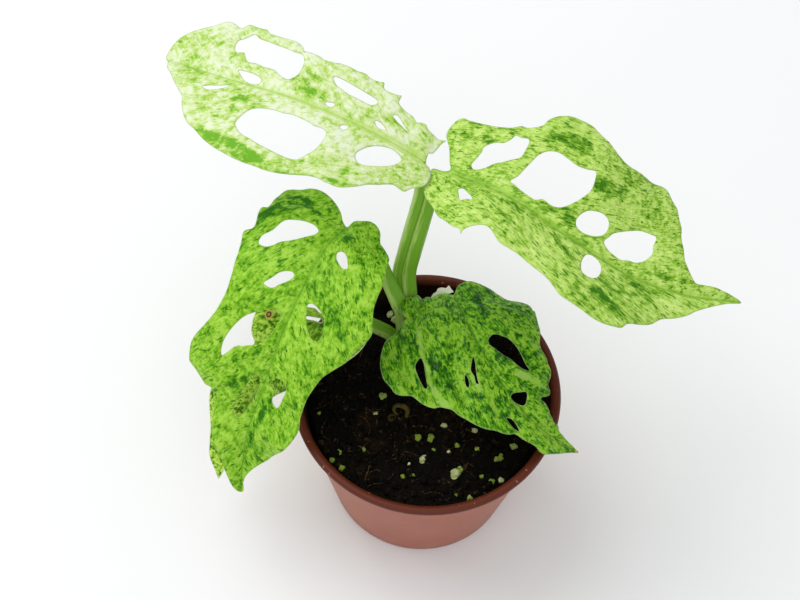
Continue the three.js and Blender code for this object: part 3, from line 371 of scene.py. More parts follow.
@dataclass(frozen=True)
class LeafFinish:
    """Marbled living tissue, mottled and flecked along the lateral veins.

    The four colours run from the palest patches to the darkest flecks. fine, mottle, drift and
    mosaic say how strongly small flecks, patches a few millimetres wide, slow changes and small
    cells move the colour, and shade darkens or lightens the whole blade. dashes is the share of
    the deep colour in separate short dashes, and reach moves how much of the blade they cover.
    painted_sheen is the share of the edge's colour in thin pale streaks along the lateral veins,
    which are a painted sheen.
    The grids are flecks and dashes in each millimetre of lateral place and of distance across.
    rib is the half width of the plain band along the midrib at its foot, and taper is how fast
    that band narrows. spot is (along, across, radius) of a dead brown place. patch_grid,
    drift_grid and cell_grid are patches, slow changes and cells in each millimetre, and
    cell_warp is how far the cells' edges wander.
    """

    name: str
    slot: str
    pale: Colour
    light: Colour
    lush: Colour
    deep: Colour
    edge: Colour
    rib_colour: Colour
    seed: float
    fine: float = 0.8
    mottle: float = 0.7
    drift: float = 0.6
    mosaic: float = 0.0
    shade: float = 0.0
    dashes: float = 0.7
    reach: float = 0.0
    painted_sheen: float = 0.0
    fleck_grid: Pair = (0.62, 0.7)
    dash_grid: Pair = (0.6, 0.4)
    edge_share: float = 0.4
    rib: float = 1.4
    taper: float = 0.012
    rib_share: float = 0.6
    roughness: float = 0.5
    gloss: float = 0.12
    bumps: float = 0.15
    spot: Triple = (-99.0, 0.0, 1.0)
    dead: Colour = tint(104, 62, 20)
    withered: Colour = tint(196, 190, 84)
    back: Colour = tint(160, 184, 110)
    patch_grid: float = 0.33
    drift_grid: float = 0.06
    cell_grid: float = 0.8
    cell_warp: float = 2.4

    def build(self) -> bpy.types.Material:
        """Makes the material.

        Returns:
            The material.
        """
        graph = Graph(self.name)
        along, across, lateral = graph.triple("flat")
        rim = graph.measure("rim")
        mark = graph.measure("mark")
        upper = 1 - graph.measure("under")
        fleck = graph.grain(
            graph.join(lateral * self.fleck_grid[0], across * self.fleck_grid[1], self.seed),
            1.0, 3.0, 0.65, 0.5)
        patch = graph.grain(
            graph.join(along * self.patch_grid, across * self.patch_grid, self.seed + 5),
            1.0, 3.0, 0.62, 0.5)
        slow = graph.grain(
            graph.join(along * self.drift_grid, across * self.drift_grid, self.seed + 9), 1.0, 1.0)
        chance = graph.cells(
            graph.join(along * self.cell_grid + patch * self.cell_warp,
                       across * self.cell_grid + fleck * self.cell_warp, self.seed), 1.0)
        tone = (fleck - 0.5) * self.fine + (patch - 0.5) * self.mottle
        tone = tone + (slow - 0.5) * self.drift + (chance - 0.5) * self.mosaic
        tone = tone + mark * MARK_WEIGHT + self.shade
        body = graph.blend(tone.between(*PALE_TO_LIGHT), self.pale, self.light)
        body = graph.blend(tone.between(*LIGHT_TO_LUSH), body, self.lush)
        body = graph.blend(tone.between(*LUSH_TO_DEEP), body, self.deep)
        dash = graph.grain(
            graph.join(lateral * self.dash_grid[0], across * self.dash_grid[1], self.seed + 14),
            1.0, 2.0, 0.6, 0.3)
        dash = dash + (patch - 0.5) * 0.25 + mark * 0.05 + self.reach
        body = graph.blend(dash.between(*DASH_EDGE) * self.dashes, body, self.deep)
        # Painted highlight: the edge colour along the fold crests, strongest where a mark's depth
        # is negative and broken up by the flecks.
        crest_highlight = (mark * -1 + (fleck - 0.5) * 4).between(*CREST_HIGHLIGHT_EDGE)
        body = graph.blend(crest_highlight * 0.5, body, self.edge)
        # Painted sheen: thin pale streaks of the edge colour along the lateral veins.
        sheen = graph.grain(
            graph.join(lateral * 0.3, across * 1.5, self.seed + 21), 1.0, 3.0, 0.6, 0.8)
        body = graph.blend((sheen + (patch - 0.5) * 0.4).between(*SHEEN_EDGE) * self.painted_sheen,
                           body, self.edge)
        band = (abs(across) + along * self.taper).between(self.rib + 0.6, self.rib - 0.5)
        thread = graph.grain(graph.join(along * 0.12, across * 1.8, self.seed), 1.0, 2.0, 0.6)
        plain = graph.blend((thread + (patch - 0.5) * 0.5).between(0.38, 0.66),
                            self.rib_colour, self.lush)
        body = graph.blend(band * upper * self.rib_share, body, plain)
        # Painted shade: the deep colour laid along the midrib's groove on the upper face.
        groove = abs(across).between(0.45, 0.1) * upper
        body = graph.blend(groove * 0.35, body, self.deep)
        body = graph.blend(rim.between(0.45, 0.1) * self.edge_share, body, self.edge)
        off_along, off_across = along - self.spot[0], across - self.spot[1]
        away = off_along * off_along + off_across * off_across
        square = self.spot[2] ** 2
        body = graph.blend(away.between(square * 3.0, square), body, self.withered)
        body = graph.blend(away.between(square, square * 0.6), body, self.dead)
        body = graph.blend(away.between(square * 0.3, square * 0.15) * 0.6, body, self.withered)
        body = graph.blend((1 - upper) * 0.55, body, self.back)
        return graph.surface({
            "Base Color": body,
            "Roughness": self.roughness + (fleck - 0.5) * 0.3,
            "Specular IOR Level": self.gloss,
            "Normal": graph.relief(fleck * 0.4 + patch * 0.6, self.bumps),
        })


@dataclass(frozen=True)
class StalkFinish:
    """Smooth green skin with pale streaks that run along the stalk, paler down one side and
    greener down the other as painted light and shade.
    """

    name: str
    pale: Colour
    green: Colour
    deep: Colour
    seed: float
    deep_foot: float

    def build(self) -> bpy.types.Material:
        """Makes the material.

        Returns:
            The material.
        """
        graph = Graph(self.name)
        along, around, _ = graph.triple("flat")
        streak = graph.grain(graph.join(along * 0.06, around * 1.6, self.seed), 1.0, 3.0, 0.6)
        fleck = graph.grain(graph.join(along * 0.5, around * 2.4, 3.0), 1.0, 2.0)
        # Painted light and shade: the light measure runs from 1 down one side of the stalk to -1
        # down the other, and pales the first side.
        light = graph.measure("light")
        body = graph.blend((streak + light * 0.4).between(0.5, 0.75), self.green, self.pale)
        dark = (streak * 0.5 + fleck * 0.5 + graph.measure("foot") * self.deep_foot)
        body = graph.blend(dark.between(0.62, 0.8), body, self.deep)
        return graph.surface({
            "Base Color": body,
            "Roughness": 0.38 + (fleck - 0.5) * 0.2,
            "Specular IOR Level": 0.25,
            "Normal": graph.relief(streak, 0.15),
        })


@dataclass(frozen=True)
class PlasticFinish:
    """Thin moulded plastic, dusty on the wall, darker on the rim and dark brown inside."""

    name: str
    wall: Colour
    rim: Colour
    dust: Colour
    inner_brown: Colour
    rim_height: float

    def build(self) -> bpy.types.Material:
        """Makes the material.

        Returns:
            The material.
        """
        graph = Graph(self.name)
        place = graph.place()
        _, _, height = graph.split(place)
        inner = graph.measure("inner")
        haze = graph.grain(place, 0.05, 4.0, 0.6)
        speck = graph.grain(place, 1.4, 3.0, 0.7)
        body = graph.blend((haze + (speck - 0.5) * 0.4).between(0.4, 0.75) * 0.5,
                           self.wall, self.dust)
        top = height.between(self.rim_height - 0.6, self.rim_height + 0.3)
        body = graph.blend(top, body, self.rim)
        # Darkens the inner wall towards a dark brown, broken up by the noises.
        darkening_inside = (inner * 1.1 + (speck - 0.5) * 0.8 + (haze - 0.5) * 0.6).between(0.35, 0.75)
        body = graph.blend(darkening_inside, body, self.inner_brown)
        chip = graph.grain(place, 0.55, 2.0, 0.5).between(0.7, 0.74) * top * (1 - inner)
        body = graph.blend(chip, body, self.dust)
        return graph.surface({
            "Base Color": body,
            "Roughness": 0.4 + (haze - 0.5) * 0.3,
            "Specular IOR Level": 0.25,
            "Normal": graph.relief(speck, 0.05),
        })


@dataclass(frozen=True)
class SoilFinish:
    """Moist dark potting mix, crumbly, with browner fibrous places."""

    name: str
    dark: Colour
    brown: Colour
    light: Colour
    roughness: float = 0.85

    def build(self) -> bpy.types.Material:
        """Makes the material.

        Returns:
            The material.
        """
        graph = Graph(self.name)
        place = graph.place()
        patch = graph.grain(place, 0.09, 3.0, 0.6)
        crumb = graph.grain(place, 0.9, 4.0, 0.7)
        body = graph.blend((patch + (crumb - 0.5) * 0.7).between(0.5, 0.72), self.dark, self.brown)
        body = graph.blend((crumb + graph.measure("chance") * 0.25).between(0.72, 0.86),
                           body, self.light)
        return graph.surface({
            "Base Color": body,
            "Roughness": self.roughness + (crumb - 0.5) * 0.3,
            "Specular IOR Level": 0.12,
            "Normal": graph.relief(crumb, 0.5),
        })


@dataclass(frozen=True)
class GrainFinish:
    """Dull grains whose colour runs from pale to green by a number that each carries."""

    name: str
    pale: Colour
    green: Colour
    stain: Colour

    def build(self) -> bpy.types.Material:
        """Makes the material.

        Returns:
            The material.
        """
        graph = Graph(self.name)
        place = graph.place()
        speck = graph.grain(place, 1.3, 3.0, 0.7)
        body = graph.blend(graph.measure("chance").between(-0.15, 0.6), self.pale, self.green)
        body = graph.blend(speck.between(0.55, 0.75) * 0.6, body, self.stain)
        return graph.surface({
            "Base Color": body,
            "Roughness": 0.7 + (speck - 0.5) * 0.3,
            "Specular IOR Level": 0.3,
            "Normal": graph.relief(speck, 0.3),
        })


@dataclass(frozen=True)
class PaperFinish:
    """Thin dry tissue with fine fibres along it."""

    name: str
    pale: Colour
    worn: Colour

    def build(self) -> bpy.types.Material:
        """Makes the material.

        Returns:
            The material.
        """
        graph = Graph(self.name)
        along, across, _ = graph.triple("flat")
        fibre = graph.grain(graph.join(along * 0.4, across * 3.0, 1.0), 1.0, 3.0, 0.6)
        body = graph.blend(fibre.between(0.5, 0.75), self.pale, self.worn)
        return graph.surface({
            "Base Color": body,
            "Roughness": 0.65 + (fibre - 0.5) * 0.2,
            "Specular IOR Level": 0.25,
            "Normal": graph.relief(fibre, 0.15),
        })


@dataclass(frozen=True)
class FloorFinish:
    """A plain pale floor with the faintest unevenness."""

    name: str
    pale: Colour
    shade: Colour

    def build(self) -> bpy.types.Material:
        """Makes the material.

        Returns:
            The material.
        """
        graph = Graph(self.name)
        cloud = graph.grain(graph.place(), 0.01, 2.0)
        return graph.surface({
            "Base Color": graph.blend(cloud, self.pale, self.shade),
            "Roughness": 0.8 + (cloud - 0.5) * 0.1,
            "Specular IOR Level": 0.1,
        })


@dataclass
class Piece:
    """A mesh on its way into the scene, in millimetres."""

    name: str
    vertices: np.ndarray
    faces: np.ndarray
    material: bpy.types.Material
    slot: str | None = None
    replaces: tuple[str, ...] = ()
    measures: dict[str, np.ndarray] | None = None

    def place(self) -> bpy.types.Object:
        """Makes the object, lets it ride on the plant's one body and reports it.

        Returns:
            The object.
        """
        mesh = bpy.data.meshes.new(self.name)
        count, sides = self.faces.shape
        mesh.vertices.add(len(self.vertices))
        mesh.vertices.foreach_set("co", (self.vertices * MM).astype(np.float32).ravel())
        mesh.loops.add(count * sides)
        mesh.loops.foreach_set("vertex_index", self.faces.astype(np.int32).ravel())
        mesh.polygons.add(count)
        mesh.polygons.foreach_set("loop_start", np.arange(0, count * sides, sides, dtype=np.int32))
        mesh.update(calc_edges=True)
        mesh.validate()
        mesh.polygons.foreach_set("use_smooth", np.ones(count, dtype=bool))
        for name, values in (self.measures or {}).items():
            kind, field = ("FLOAT", "value") if values.ndim == 1 else ("FLOAT_VECTOR", "vector")
            attribute = mesh.attributes.new(name, kind, "POINT")
            attribute.data.foreach_set(field, values.astype(np.float32).ravel())
        mesh.materials.append(self.material)
        piece = bpy.data.objects.new(self.name, mesh)
        bpy.context.scene.collection.objects.link(piece)
        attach(piece, "root")
        if self.replaces:
            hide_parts(*self.replaces)
        LOG.info("%s: %d faces", self.name, count)
        return piece


@dataclass(frozen=True)
class Viewpoint:
    """Where the picture was taken from. Its pixels count from the upper left corner."""

    focal: float = 1500.0
    wide: float = 800.0
    high: float = 600.0
    elevation: float = 59.4
    roll: float = 3.0
    distance: float = 576.0
    target: Triple = (-11.7, 37.3, 72.0)

    def axes(self) -> tuple[np.ndarray, np.ndarray, np.ndarray]:
        """The picture's directions in space.

        Returns:
            Unit vectors to its right, to its top and back to the viewer.
        """
        rise, roll = math.radians(self.elevation), math.radians(self.roll)
        back = np.array([0.0, -math.cos(rise), math.sin(rise)])
        right = np.array([1.0, 0.0, 0.0])
        up = np.cross(back, right)
        side = math.cos(roll) * right + math.sin(roll) * up
        top = math.cos(roll) * up - math.sin(roll) * right
        return side, top, back

    def eye(self) -> np.ndarray:
        """The viewer's place."""
        return np.array(self.target) + self.axes()[2] * self.distance

    def pixels(self, points: np.ndarray) -> np.ndarray:
        """Where points in space show in the picture.

        Args:
            points: rows of three coordinates.

        Returns:
            Rows of (pixel across, pixel down).
        """
        side, top, back = self.axes()
        away = points - self.eye()
        depth = -(away @ back)
        return np.column_stack([self.wide / 2 + self.focal * (away @ side) / depth,
                                self.high / 2 - self.focal * (away @ top) / depth])

    def on_level(self, across: float, down: float, level: float) -> Pair:
        """What shows at a pixel, if it lies at a known height.

        Args:
            across: pixel across.
            down: pixel down.
            level: height of the point.

        Returns:
            The point's x and y.
        """
        side, top, back = self.axes()
        ray = side * (across - self.wide / 2) + top * (self.high / 2 - down)
        ray = ray - back * self.focal
        eye = self.eye()
        point = eye + ray * (level - eye[2]) / ray[2]
        return float(point[0]), float(point[1])


VIEW = Viewpoint()


class Dab(NamedTuple):
    """A darker place laid where it shows in the picture, in pixels but for its depth.

    across and down are its middle, run and drop lead from there to its end, and wide is half
    its width. degrees is its turn on the blade, where that is given.
    """

    across: float
    down: float
    run: float
    drop: float
    wide: float
    depth: float
    degrees: float | None = None


class Stroke(NamedTuple):
    """A darker line between two pixels of the picture, with half its width in millimetres."""

    from_across: float
    from_down: float
    to_across: float
    to_down: float
    width: float
    depth: float


class Scrap(NamedTuple):
    """A thing on the soil: its pixel in the picture, its radius in millimetres and a number."""

    across: float
    down: float
    radius: float
    number: float


@dataclass(frozen=True)
class LeafShape:
    """A blade's form.

    mid holds points along the midrib, from the petiole to the tip. The folds are (fraction of
    the length, degrees that the half-blade rises from the midrib). The curls are the degrees
    per millimetre by which it bends down again towards the edge. outline and holes are
    (distance along the midrib, distance across it). lean says how far the lateral veins run
    forward for each millimetre outward, at the foot and at the tip. Each crease is (points,
    height, half width) of a ridge.

    Darker places, or paler ones where the depth is negative, are placed in three ways. Most
    are the blade's own marbling; on the front blade the palest lines along the fold crests are
    a painted highlight and the darker band beside the main crest is painted shade. A mark
    is (along, across, half its length, half its width, degrees, depth) on the flat blade. The
    dabs and strokes hold the values of a Dab or a Stroke, in its order.
    """

    name: str
    mid: tuple[Triple, ...]
    fold_left: tuple[Pair, ...]
    fold_right: tuple[Pair, ...]
    curl: Pair
    outline: tuple[Pair, ...]
    holes: tuple[tuple[Pair, ...], ...]
    lean: Pair
    seed: float
    marks: tuple[tuple[float, ...], ...] = ()
    dabs: tuple[tuple[float, ...], ...] = ()
    strokes: tuple[tuple[float, ...], ...] = ()
    creases: tuple[tuple[tuple[Pair, ...], float, float], ...] = ()
    vein_pitch: float = 9.0
    quilt: float = 0.4
    swell: float = 0.7
    flutter: float = 0.8
    spacing: float = 0.8
    thickness: float = 0.5
    keel: float = 0.8


class Blade:
    """A curved middle surface that flat leaf points are bent onto."""

    STEPS = 40
    REACH = 0.6

    def __init__(self, shape: LeafShape) -> None:
        """Samples the midrib.

        Args:
            shape: the blade's form.
        """
        self.shape = shape
        self.points = spline(np.array(shape.mid, float), self.STEPS)
        steps = np.linalg.norm(np.diff(self.points, axis=0), axis=1)
        self.lengths = np.concatenate([[0.0], np.cumsum(steps)])
        self.length = float(self.lengths[-1])

    def midrib(self, distance: np.ndarray) -> np.ndarray:
        """Points at distances along the midrib."""
        return np.column_stack(
            [np.interp(distance, self.lengths, self.points[:, k]) for k in range(3)])

    def eased(self, stations: tuple[Pair, ...], fraction: np.ndarray) -> np.ndarray:
        """Values between stations, eased at both ends of each span.

        Args:
            stations: (fraction of the length, value), in order.
            fraction: where the values are asked for.

        Returns:
            One value for each fraction.
        """
        places = np.array([s[0] for s in stations])
        values = np.array([s[1] for s in stations], float)
        i = np.clip(np.searchsorted(places, fraction, side="right") - 1, 0, len(places) - 2)
        t = np.clip((fraction - places[i]) / (places[i + 1] - places[i]), 0, 1)
        return values[i] + (values[i + 1] - values[i]) * t * t * (3 - 2 * t)

    def bend(self, flat: np.ndarray) -> np.ndarray:
        """Places flat points (along, across) in space.

        Args:
            flat: rows of two coordinates.

        Returns:
            Rows of three coordinates.
        """
        u, v = flat[:, 0], flat[:, 1]
        inner = np.clip(u, 0, self.length)
        ahead = self.midrib(np.minimum(inner + self.REACH, self.length))
        behind = self.midrib(np.maximum(inner - self.REACH, 0))
        along = unit(ahead - behind)
        origin = self.midrib(inner) + along * (u - inner)[:, None]
        across = unit(np.cross(along, (0.0, 0.0, 1.0)))
        normal = np.cross(across, along)
        fraction = np.clip(u / self.length, 0, 1)
        right = v >= 0
        fold = np.radians(np.where(right, self.eased(self.shape.fold_right, fraction),
                                   self.eased(self.shape.fold_left, fraction)))
        curl = np.radians(np.where(right, self.shape.curl[1], self.shape.curl[0]))
        bent = fold - curl * np.abs(v)
        out = (np.sin(fold) - np.sin(bent)) / curl * np.where(right, 1, -1)
        rise = (np.cos(bent) - np.cos(fold)) / curl
        return origin + across * out[:, None] + normal * rise[:, None]


class FlatSheet:
    """Even fine triangles over an outline with holes."""

    ROW_STEP = 0.866
    CLEAR = 0.5

    def __init__(self, outline: np.ndarray, holes: Sequence[np.ndarray], spacing: float,
                 border_spacing: float) -> None:
        """Samples the rings and fills them with a staggered grid.

        Args:
            outline: corner points of the outer ring.
            holes: corner points of each inner ring.
            spacing: distance between inner points.
            border_spacing: distance between points on the rings.
        """
        rings = [ring_spline(ring, border_spacing) for ring in (outline, *holes)]
        self.outer = rings[0]
        self.starts = np.vstack(rings)
        self.ends = np.vstack([np.roll(ring, -1, axis=0) for ring in rings])
        low, high = self.outer.min(0), self.outer.max(0)
        rows = np.arange(low[1], high[1], spacing * self.ROW_STEP)
        columns = np.arange(low[0], high[0], spacing)
        grid = np.array([(x + (k % 2) * spacing / 2, y) for k, y in enumerate(rows)
                         for x in columns])
        grid = grid[inside(grid, self.starts, self.ends)]
        grid = grid[segment_distance(grid, self.starts, self.ends) > spacing * self.CLEAR]
        edges, first = [], 0
        for ring in rings:
            count = len(ring)
            edges += [(first + i, first + (i + 1) % count) for i in range(count)]
            first += count
        points = np.vstack([self.starts, grid])
        found = delaunay_2d_cdt([Vector(p) for p in points], edges, [], 0, 1e-5)
        self.points = np.array([tuple(p) for p in found[0]])
        triangles = np.array(found[2])
        centres = self.points[triangles].mean(1)
        self.triangles = triangles[inside(centres, self.starts, self.ends)]
        self.rim = segment_distance(self.points, self.starts, self.ends)
        outer_ends = np.roll(self.outer, -1, axis=0)
        self.outer_rim = segment_distance(self.points, self.outer, outer_ends)

    def borders(self) -> np.ndarray:
        """Finds the edges that belong to one triangle only.

        Returns:
            Rows of (start, end).
        """
        directed = np.vstack([self.triangles[:, [0, 1]], self.triangles[:, [1, 2]],
                              self.triangles[:, [2, 0]]])
        keys = np.sort(directed, axis=1)
        keys = keys[:, 0] * len(self.points) + keys[:, 1]
        _, back, counts = np.unique(keys, return_inverse=True, return_counts=True)
        return directed[counts[back.ravel()] == 1]


def vertex_normals(points: np.ndarray, triangles: np.ndarray) -> np.ndarray:
    """Unit normals at the points, averaged over the triangles round each.

    Args:
        points: rows of three coordinates.
        triangles: rows of three point numbers.

    Returns:
        One normal for each point.
    """
    corners = points[triangles]
    faces = np.cross(corners[:, 1] - corners[:, 0], corners[:, 2] - corners[:, 0])
    normals = np.zeros_like(points)
    for k in range(3):
        np.add.at(normals, triangles[:, k], faces)
    return unit(normals)


def sheet_solid(top: np.ndarray, bottom: np.ndarray, triangles: np.ndarray,
                borders: np.ndarray) -> tuple[np.ndarray, np.ndarray]:
    """Closes two faces of a sheet into one body.

    Args:
        top: points of the upper face.
        bottom: the matching points of the lower face.
        triangles: triangles of the upper face, turning left seen from above it.
        borders: directed border edges of those triangles.

    Returns:
        The vertices and the triangles.
    """
    count = len(top)
    a, b = borders[:, 0], borders[:, 1]
    faces = np.vstack([
        triangles, triangles[:, ::-1] + count,
        np.column_stack([b, a, a + count]), np.column_stack([b, a + count, b + count])])
    return np.vstack([top, bottom]), faces


class Leaf:
    """One blade with its veins, waves, holes and marbling.

    samples are flat points all over the blade's surface, and seen is where each shows in the
    picture. Widths, depths and reaches are in millimetres. A mark is full up to MARK_FULL of
    its half size from its middle and gone at MARK_GONE.
    """

    SAMPLES_ALONG = (-12.0, 122.0)
    SAMPLES_ACROSS = (-48.0, 40.0)
    SAMPLE_STEP = 0.5
    MARK_FULL = 0.6
    MARK_GONE = 1.55
    MARK_LIMIT = 2.0
    THINNEST_MARK = 0.7
    VEIN_STRIP = 0.42
    MIDRIB_STRIP = (1.0, 6.0)
    RIM_STRIP = (0.0, 5.0)
    SWELL_STRIP = (0.0, 8.0)
    KEEL_START = (1.0, 8.0)
    KEEL_TAPER = 0.8
    CREASE_STEPS = 8
    BORDER_SHARE = 0.75
    LATERAL_BOW = 0.004
    LATERAL_WANDER = 0.9
    WANDER_WIDTH = 9.0
    MIDRIB_DEPTH = 0.45
    MIDRIB_HALF = 1.1
    SWELL_WIDTH = 14.0
    FLUTTER_WIDTH = 7.0
    FLUTTER_REACH = 9.0
    EDGE_REACH = 1.6
    EDGE_SHARE = 0.35
    KEEL_HALF = 0.9

    def __init__(self, shape: LeafShape, finish: bpy.types.Material, slot: str) -> None:
        """Keeps the form and the finish, and looks where the blade shows.

        Args:
            shape: the blade's form.
            finish: its material.
            slot: the name of its material slot.
        """
        self.shape = shape
        self.finish = finish
        self.slot = slot
        self.blade = Blade(shape)
        along = np.arange(*self.SAMPLES_ALONG, self.SAMPLE_STEP)
        across = np.arange(*self.SAMPLES_ACROSS, self.SAMPLE_STEP)
        self.samples = np.stack(np.meshgrid(along, across, indexing="ij"), -1).reshape(-1, 2)
        self.seen = VIEW.pixels(self.blade.bend(self.samples))

    def lateral(self, flat: np.ndarray) -> np.ndarray:
        """Where on the midrib the lateral vein through each point starts.

        Args:
            flat: rows of (along, across).

        Returns:
            One distance along the midrib for each row.
        """
        u, w = flat[:, 0], np.abs(flat[:, 1])
        foot, tip = self.shape.lean
        lean = foot + (tip - foot) * np.clip(u / self.blade.length, 0, 1)
        return u - lean * w - self.LATERAL_BOW * w * w

    def find(self, across: float, down: float) -> np.ndarray:
        """The flat point of the blade that shows nearest to a pixel of the picture."""
        return self.samples[((self.seen - (across, down)) ** 2).sum(1).argmin()]

    def placed_marks(self) -> list[tuple[float, ...]]:
        """All darker and paler places, turned to the flat blade where they were seen.

        Returns:
            Rows of (along, across, half length, half width, degrees, depth).
        """
        rows = list(self.shape.marks)
        for dab in (Dab(*row) for row in self.shape.dabs):
            x, y = dab.across, dab.down
            ahead = self.find(x + dab.run, y + dab.drop) - self.find(x - dab.run, y - dab.drop)
            side = dab.wide / math.hypot(dab.run, dab.drop)
            to_right, to_left = dab.drop * side, dab.run * side
            aside = self.find(x - to_right, y + to_left) - self.find(x + to_right, y - to_left)
            degrees = dab.degrees
            if degrees is None:
                degrees = math.degrees(math.atan2(ahead[1], ahead[0]))
            rows.append((*self.find(x, y), np.hypot(*ahead) / 2, np.hypot(*aside) / 2,
                         degrees, dab.depth))
        for stroke in (Stroke(*row) for row in self.shape.strokes):
            start = self.find(stroke.from_across, stroke.from_down)
            end = self.find(stroke.to_across, stroke.to_down)
            ahead = end - start
            rows.append((*((start + end) / 2), max(np.hypot(*ahead) / 2, stroke.width),
                         stroke.width, math.degrees(math.atan2(ahead[1], ahead[0])),
                         stroke.depth))
        return rows

    def marking(self, flat: np.ndarray) -> np.ndarray:
        """How much darker the listed marks make each point.

        Args:
            flat: rows of (along, across).

        Returns:
            One value for each row, below 0 where the blade is paler.
        """
        total = np.zeros(len(flat))
        for along, across, length, width, turn, depth in self.placed_marks():
            cosine, sine = math.cos(math.radians(turn)), math.sin(math.radians(turn))
            ahead, aside = flat[:, 0] - along, flat[:, 1] - across
            off = np.hypot((ahead * cosine + aside * sine) / length,
                           (aside * cosine - ahead * sine) / max(width, self.THINNEST_MARK))
            total += depth * smooth(self.MARK_GONE, self.MARK_FULL, off)
        return np.clip(total, -self.MARK_LIMIT, self.MARK_LIMIT)

    def height(self, sheet: FlatSheet, lateral: np.ndarray) -> np.ndarray:
        """How far each point of the middle surface stands off the plain bent blade.

        Args:
            sheet: the blade's flat triangles.
            lateral: where the lateral vein through each of its points starts.

        Returns:
            One height for each point.
        """
        shape = self.shape
        flat = sheet.points
        across = np.abs(flat[:, 1])
        phase = lateral + np.where(flat[:, 1] > 0, 0.5, 0.0) * shape.vein_pitch
        gap = np.abs((phase / shape.vein_pitch + 0.5) % 1.0 - 0.5) * shape.vein_pitch
        pillow = smooth(0.0, shape.vein_pitch * self.VEIN_STRIP, gap)
        pillow *= smooth(*self.MIDRIB_STRIP, across)
        pillow *= smooth(*self.RIM_STRIP, sheet.rim)
        rise = shape.quilt * pillow
        rise -= self.MIDRIB_DEPTH * np.exp(-(across / self.MIDRIB_HALF) ** 2)
        rise += (shape.swell * ripple(flat, self.SWELL_WIDTH, shape.seed)
                 * smooth(*self.SWELL_STRIP, across))
        wave = ripple(np.column_stack([flat[:, 0], flat[:, 1] * 0.4]), self.FLUTTER_WIDTH,
                      shape.seed + 4)
        rise += shape.flutter * wave * smooth(self.FLUTTER_REACH, 0.0, sheet.outer_rim)
        for points, height, width in shape.creases:
            line = spline(np.array(points, float), self.CREASE_STEPS)
            away = segment_distance(flat, line[:-1], line[1:])
            rise += height * np.exp(-(away / width) ** 2)
        return rise

    def build(self) -> bpy.types.Object:
        """Makes the blade.

        Returns:
            Its piece.
        """
        shape = self.shape
        holes = [np.array(hole, float) for hole in shape.holes]
        sheet = FlatSheet(np.array(shape.outline, float), holes, shape.spacing,
                          shape.spacing * self.BORDER_SHARE)
        flat = sheet.points
        lateral = self.lateral(flat)
        lateral = lateral + self.LATERAL_WANDER * ripple(flat, self.WANDER_WIDTH,
                                                         shape.seed + 8)
        plain = self.blade.bend(flat)
        normals = vertex_normals(plain, sheet.triangles)
        upward = 1.0 if normals[:, 2].sum() > 0 else -1.0
        normals = normals * upward
        middle = plain + normals * self.height(sheet, lateral)[:, None]
        normals = vertex_normals(middle, sheet.triangles) * upward
        full = smooth(0.0, self.EDGE_REACH, sheet.rim)
        half = 0.5 * shape.thickness * (self.EDGE_SHARE + (1 - self.EDGE_SHARE) * full)
        across = np.abs(flat[:, 1])
        fraction = np.clip(flat[:, 0] / self.blade.length, 0, 1)
        keel = shape.keel * np.exp(-(across / self.KEEL_HALF) ** 2)
        keel *= 1 - self.KEEL_TAPER * fraction
        keel *= smooth(*self.KEEL_START, flat[:, 0]) * smooth(0.0, 2.0, sheet.rim)
        top = middle + normals * half[:, None]
        bottom = middle - normals * (half + keel)[:, None]
        triangles = sheet.triangles if upward > 0 else sheet.triangles[:, ::-1]
        borders = sheet.borders() if upward > 0 else sheet.borders()[:, ::-1]
        vertices, faces = sheet_solid(top, bottom, triangles, borders)
        both = np.column_stack([flat, lateral])
        return Piece(
            shape.name + "_blade", vertices, faces, self.finish, self.slot, (shape.name,),
            {"flat": np.vstack([both, both]),
             "mark": np.tile(self.marking(flat), 2),
             "rim": np.tile(sheet.rim, 2),
             "under": np.repeat([0.0, 1.0], len(flat))}).place()


@dataclass(frozen=True)
class StalkShape:
    """A stalk's path, as (x, y, z, half width, half depth) at each point."""

    name: str
    node: str
    path: tuple[tuple[float, ...], ...]
    ribs: int = 5
    rib_height: float = 0.05
    groove: float = 0.12
    foot_height: float = 80.0


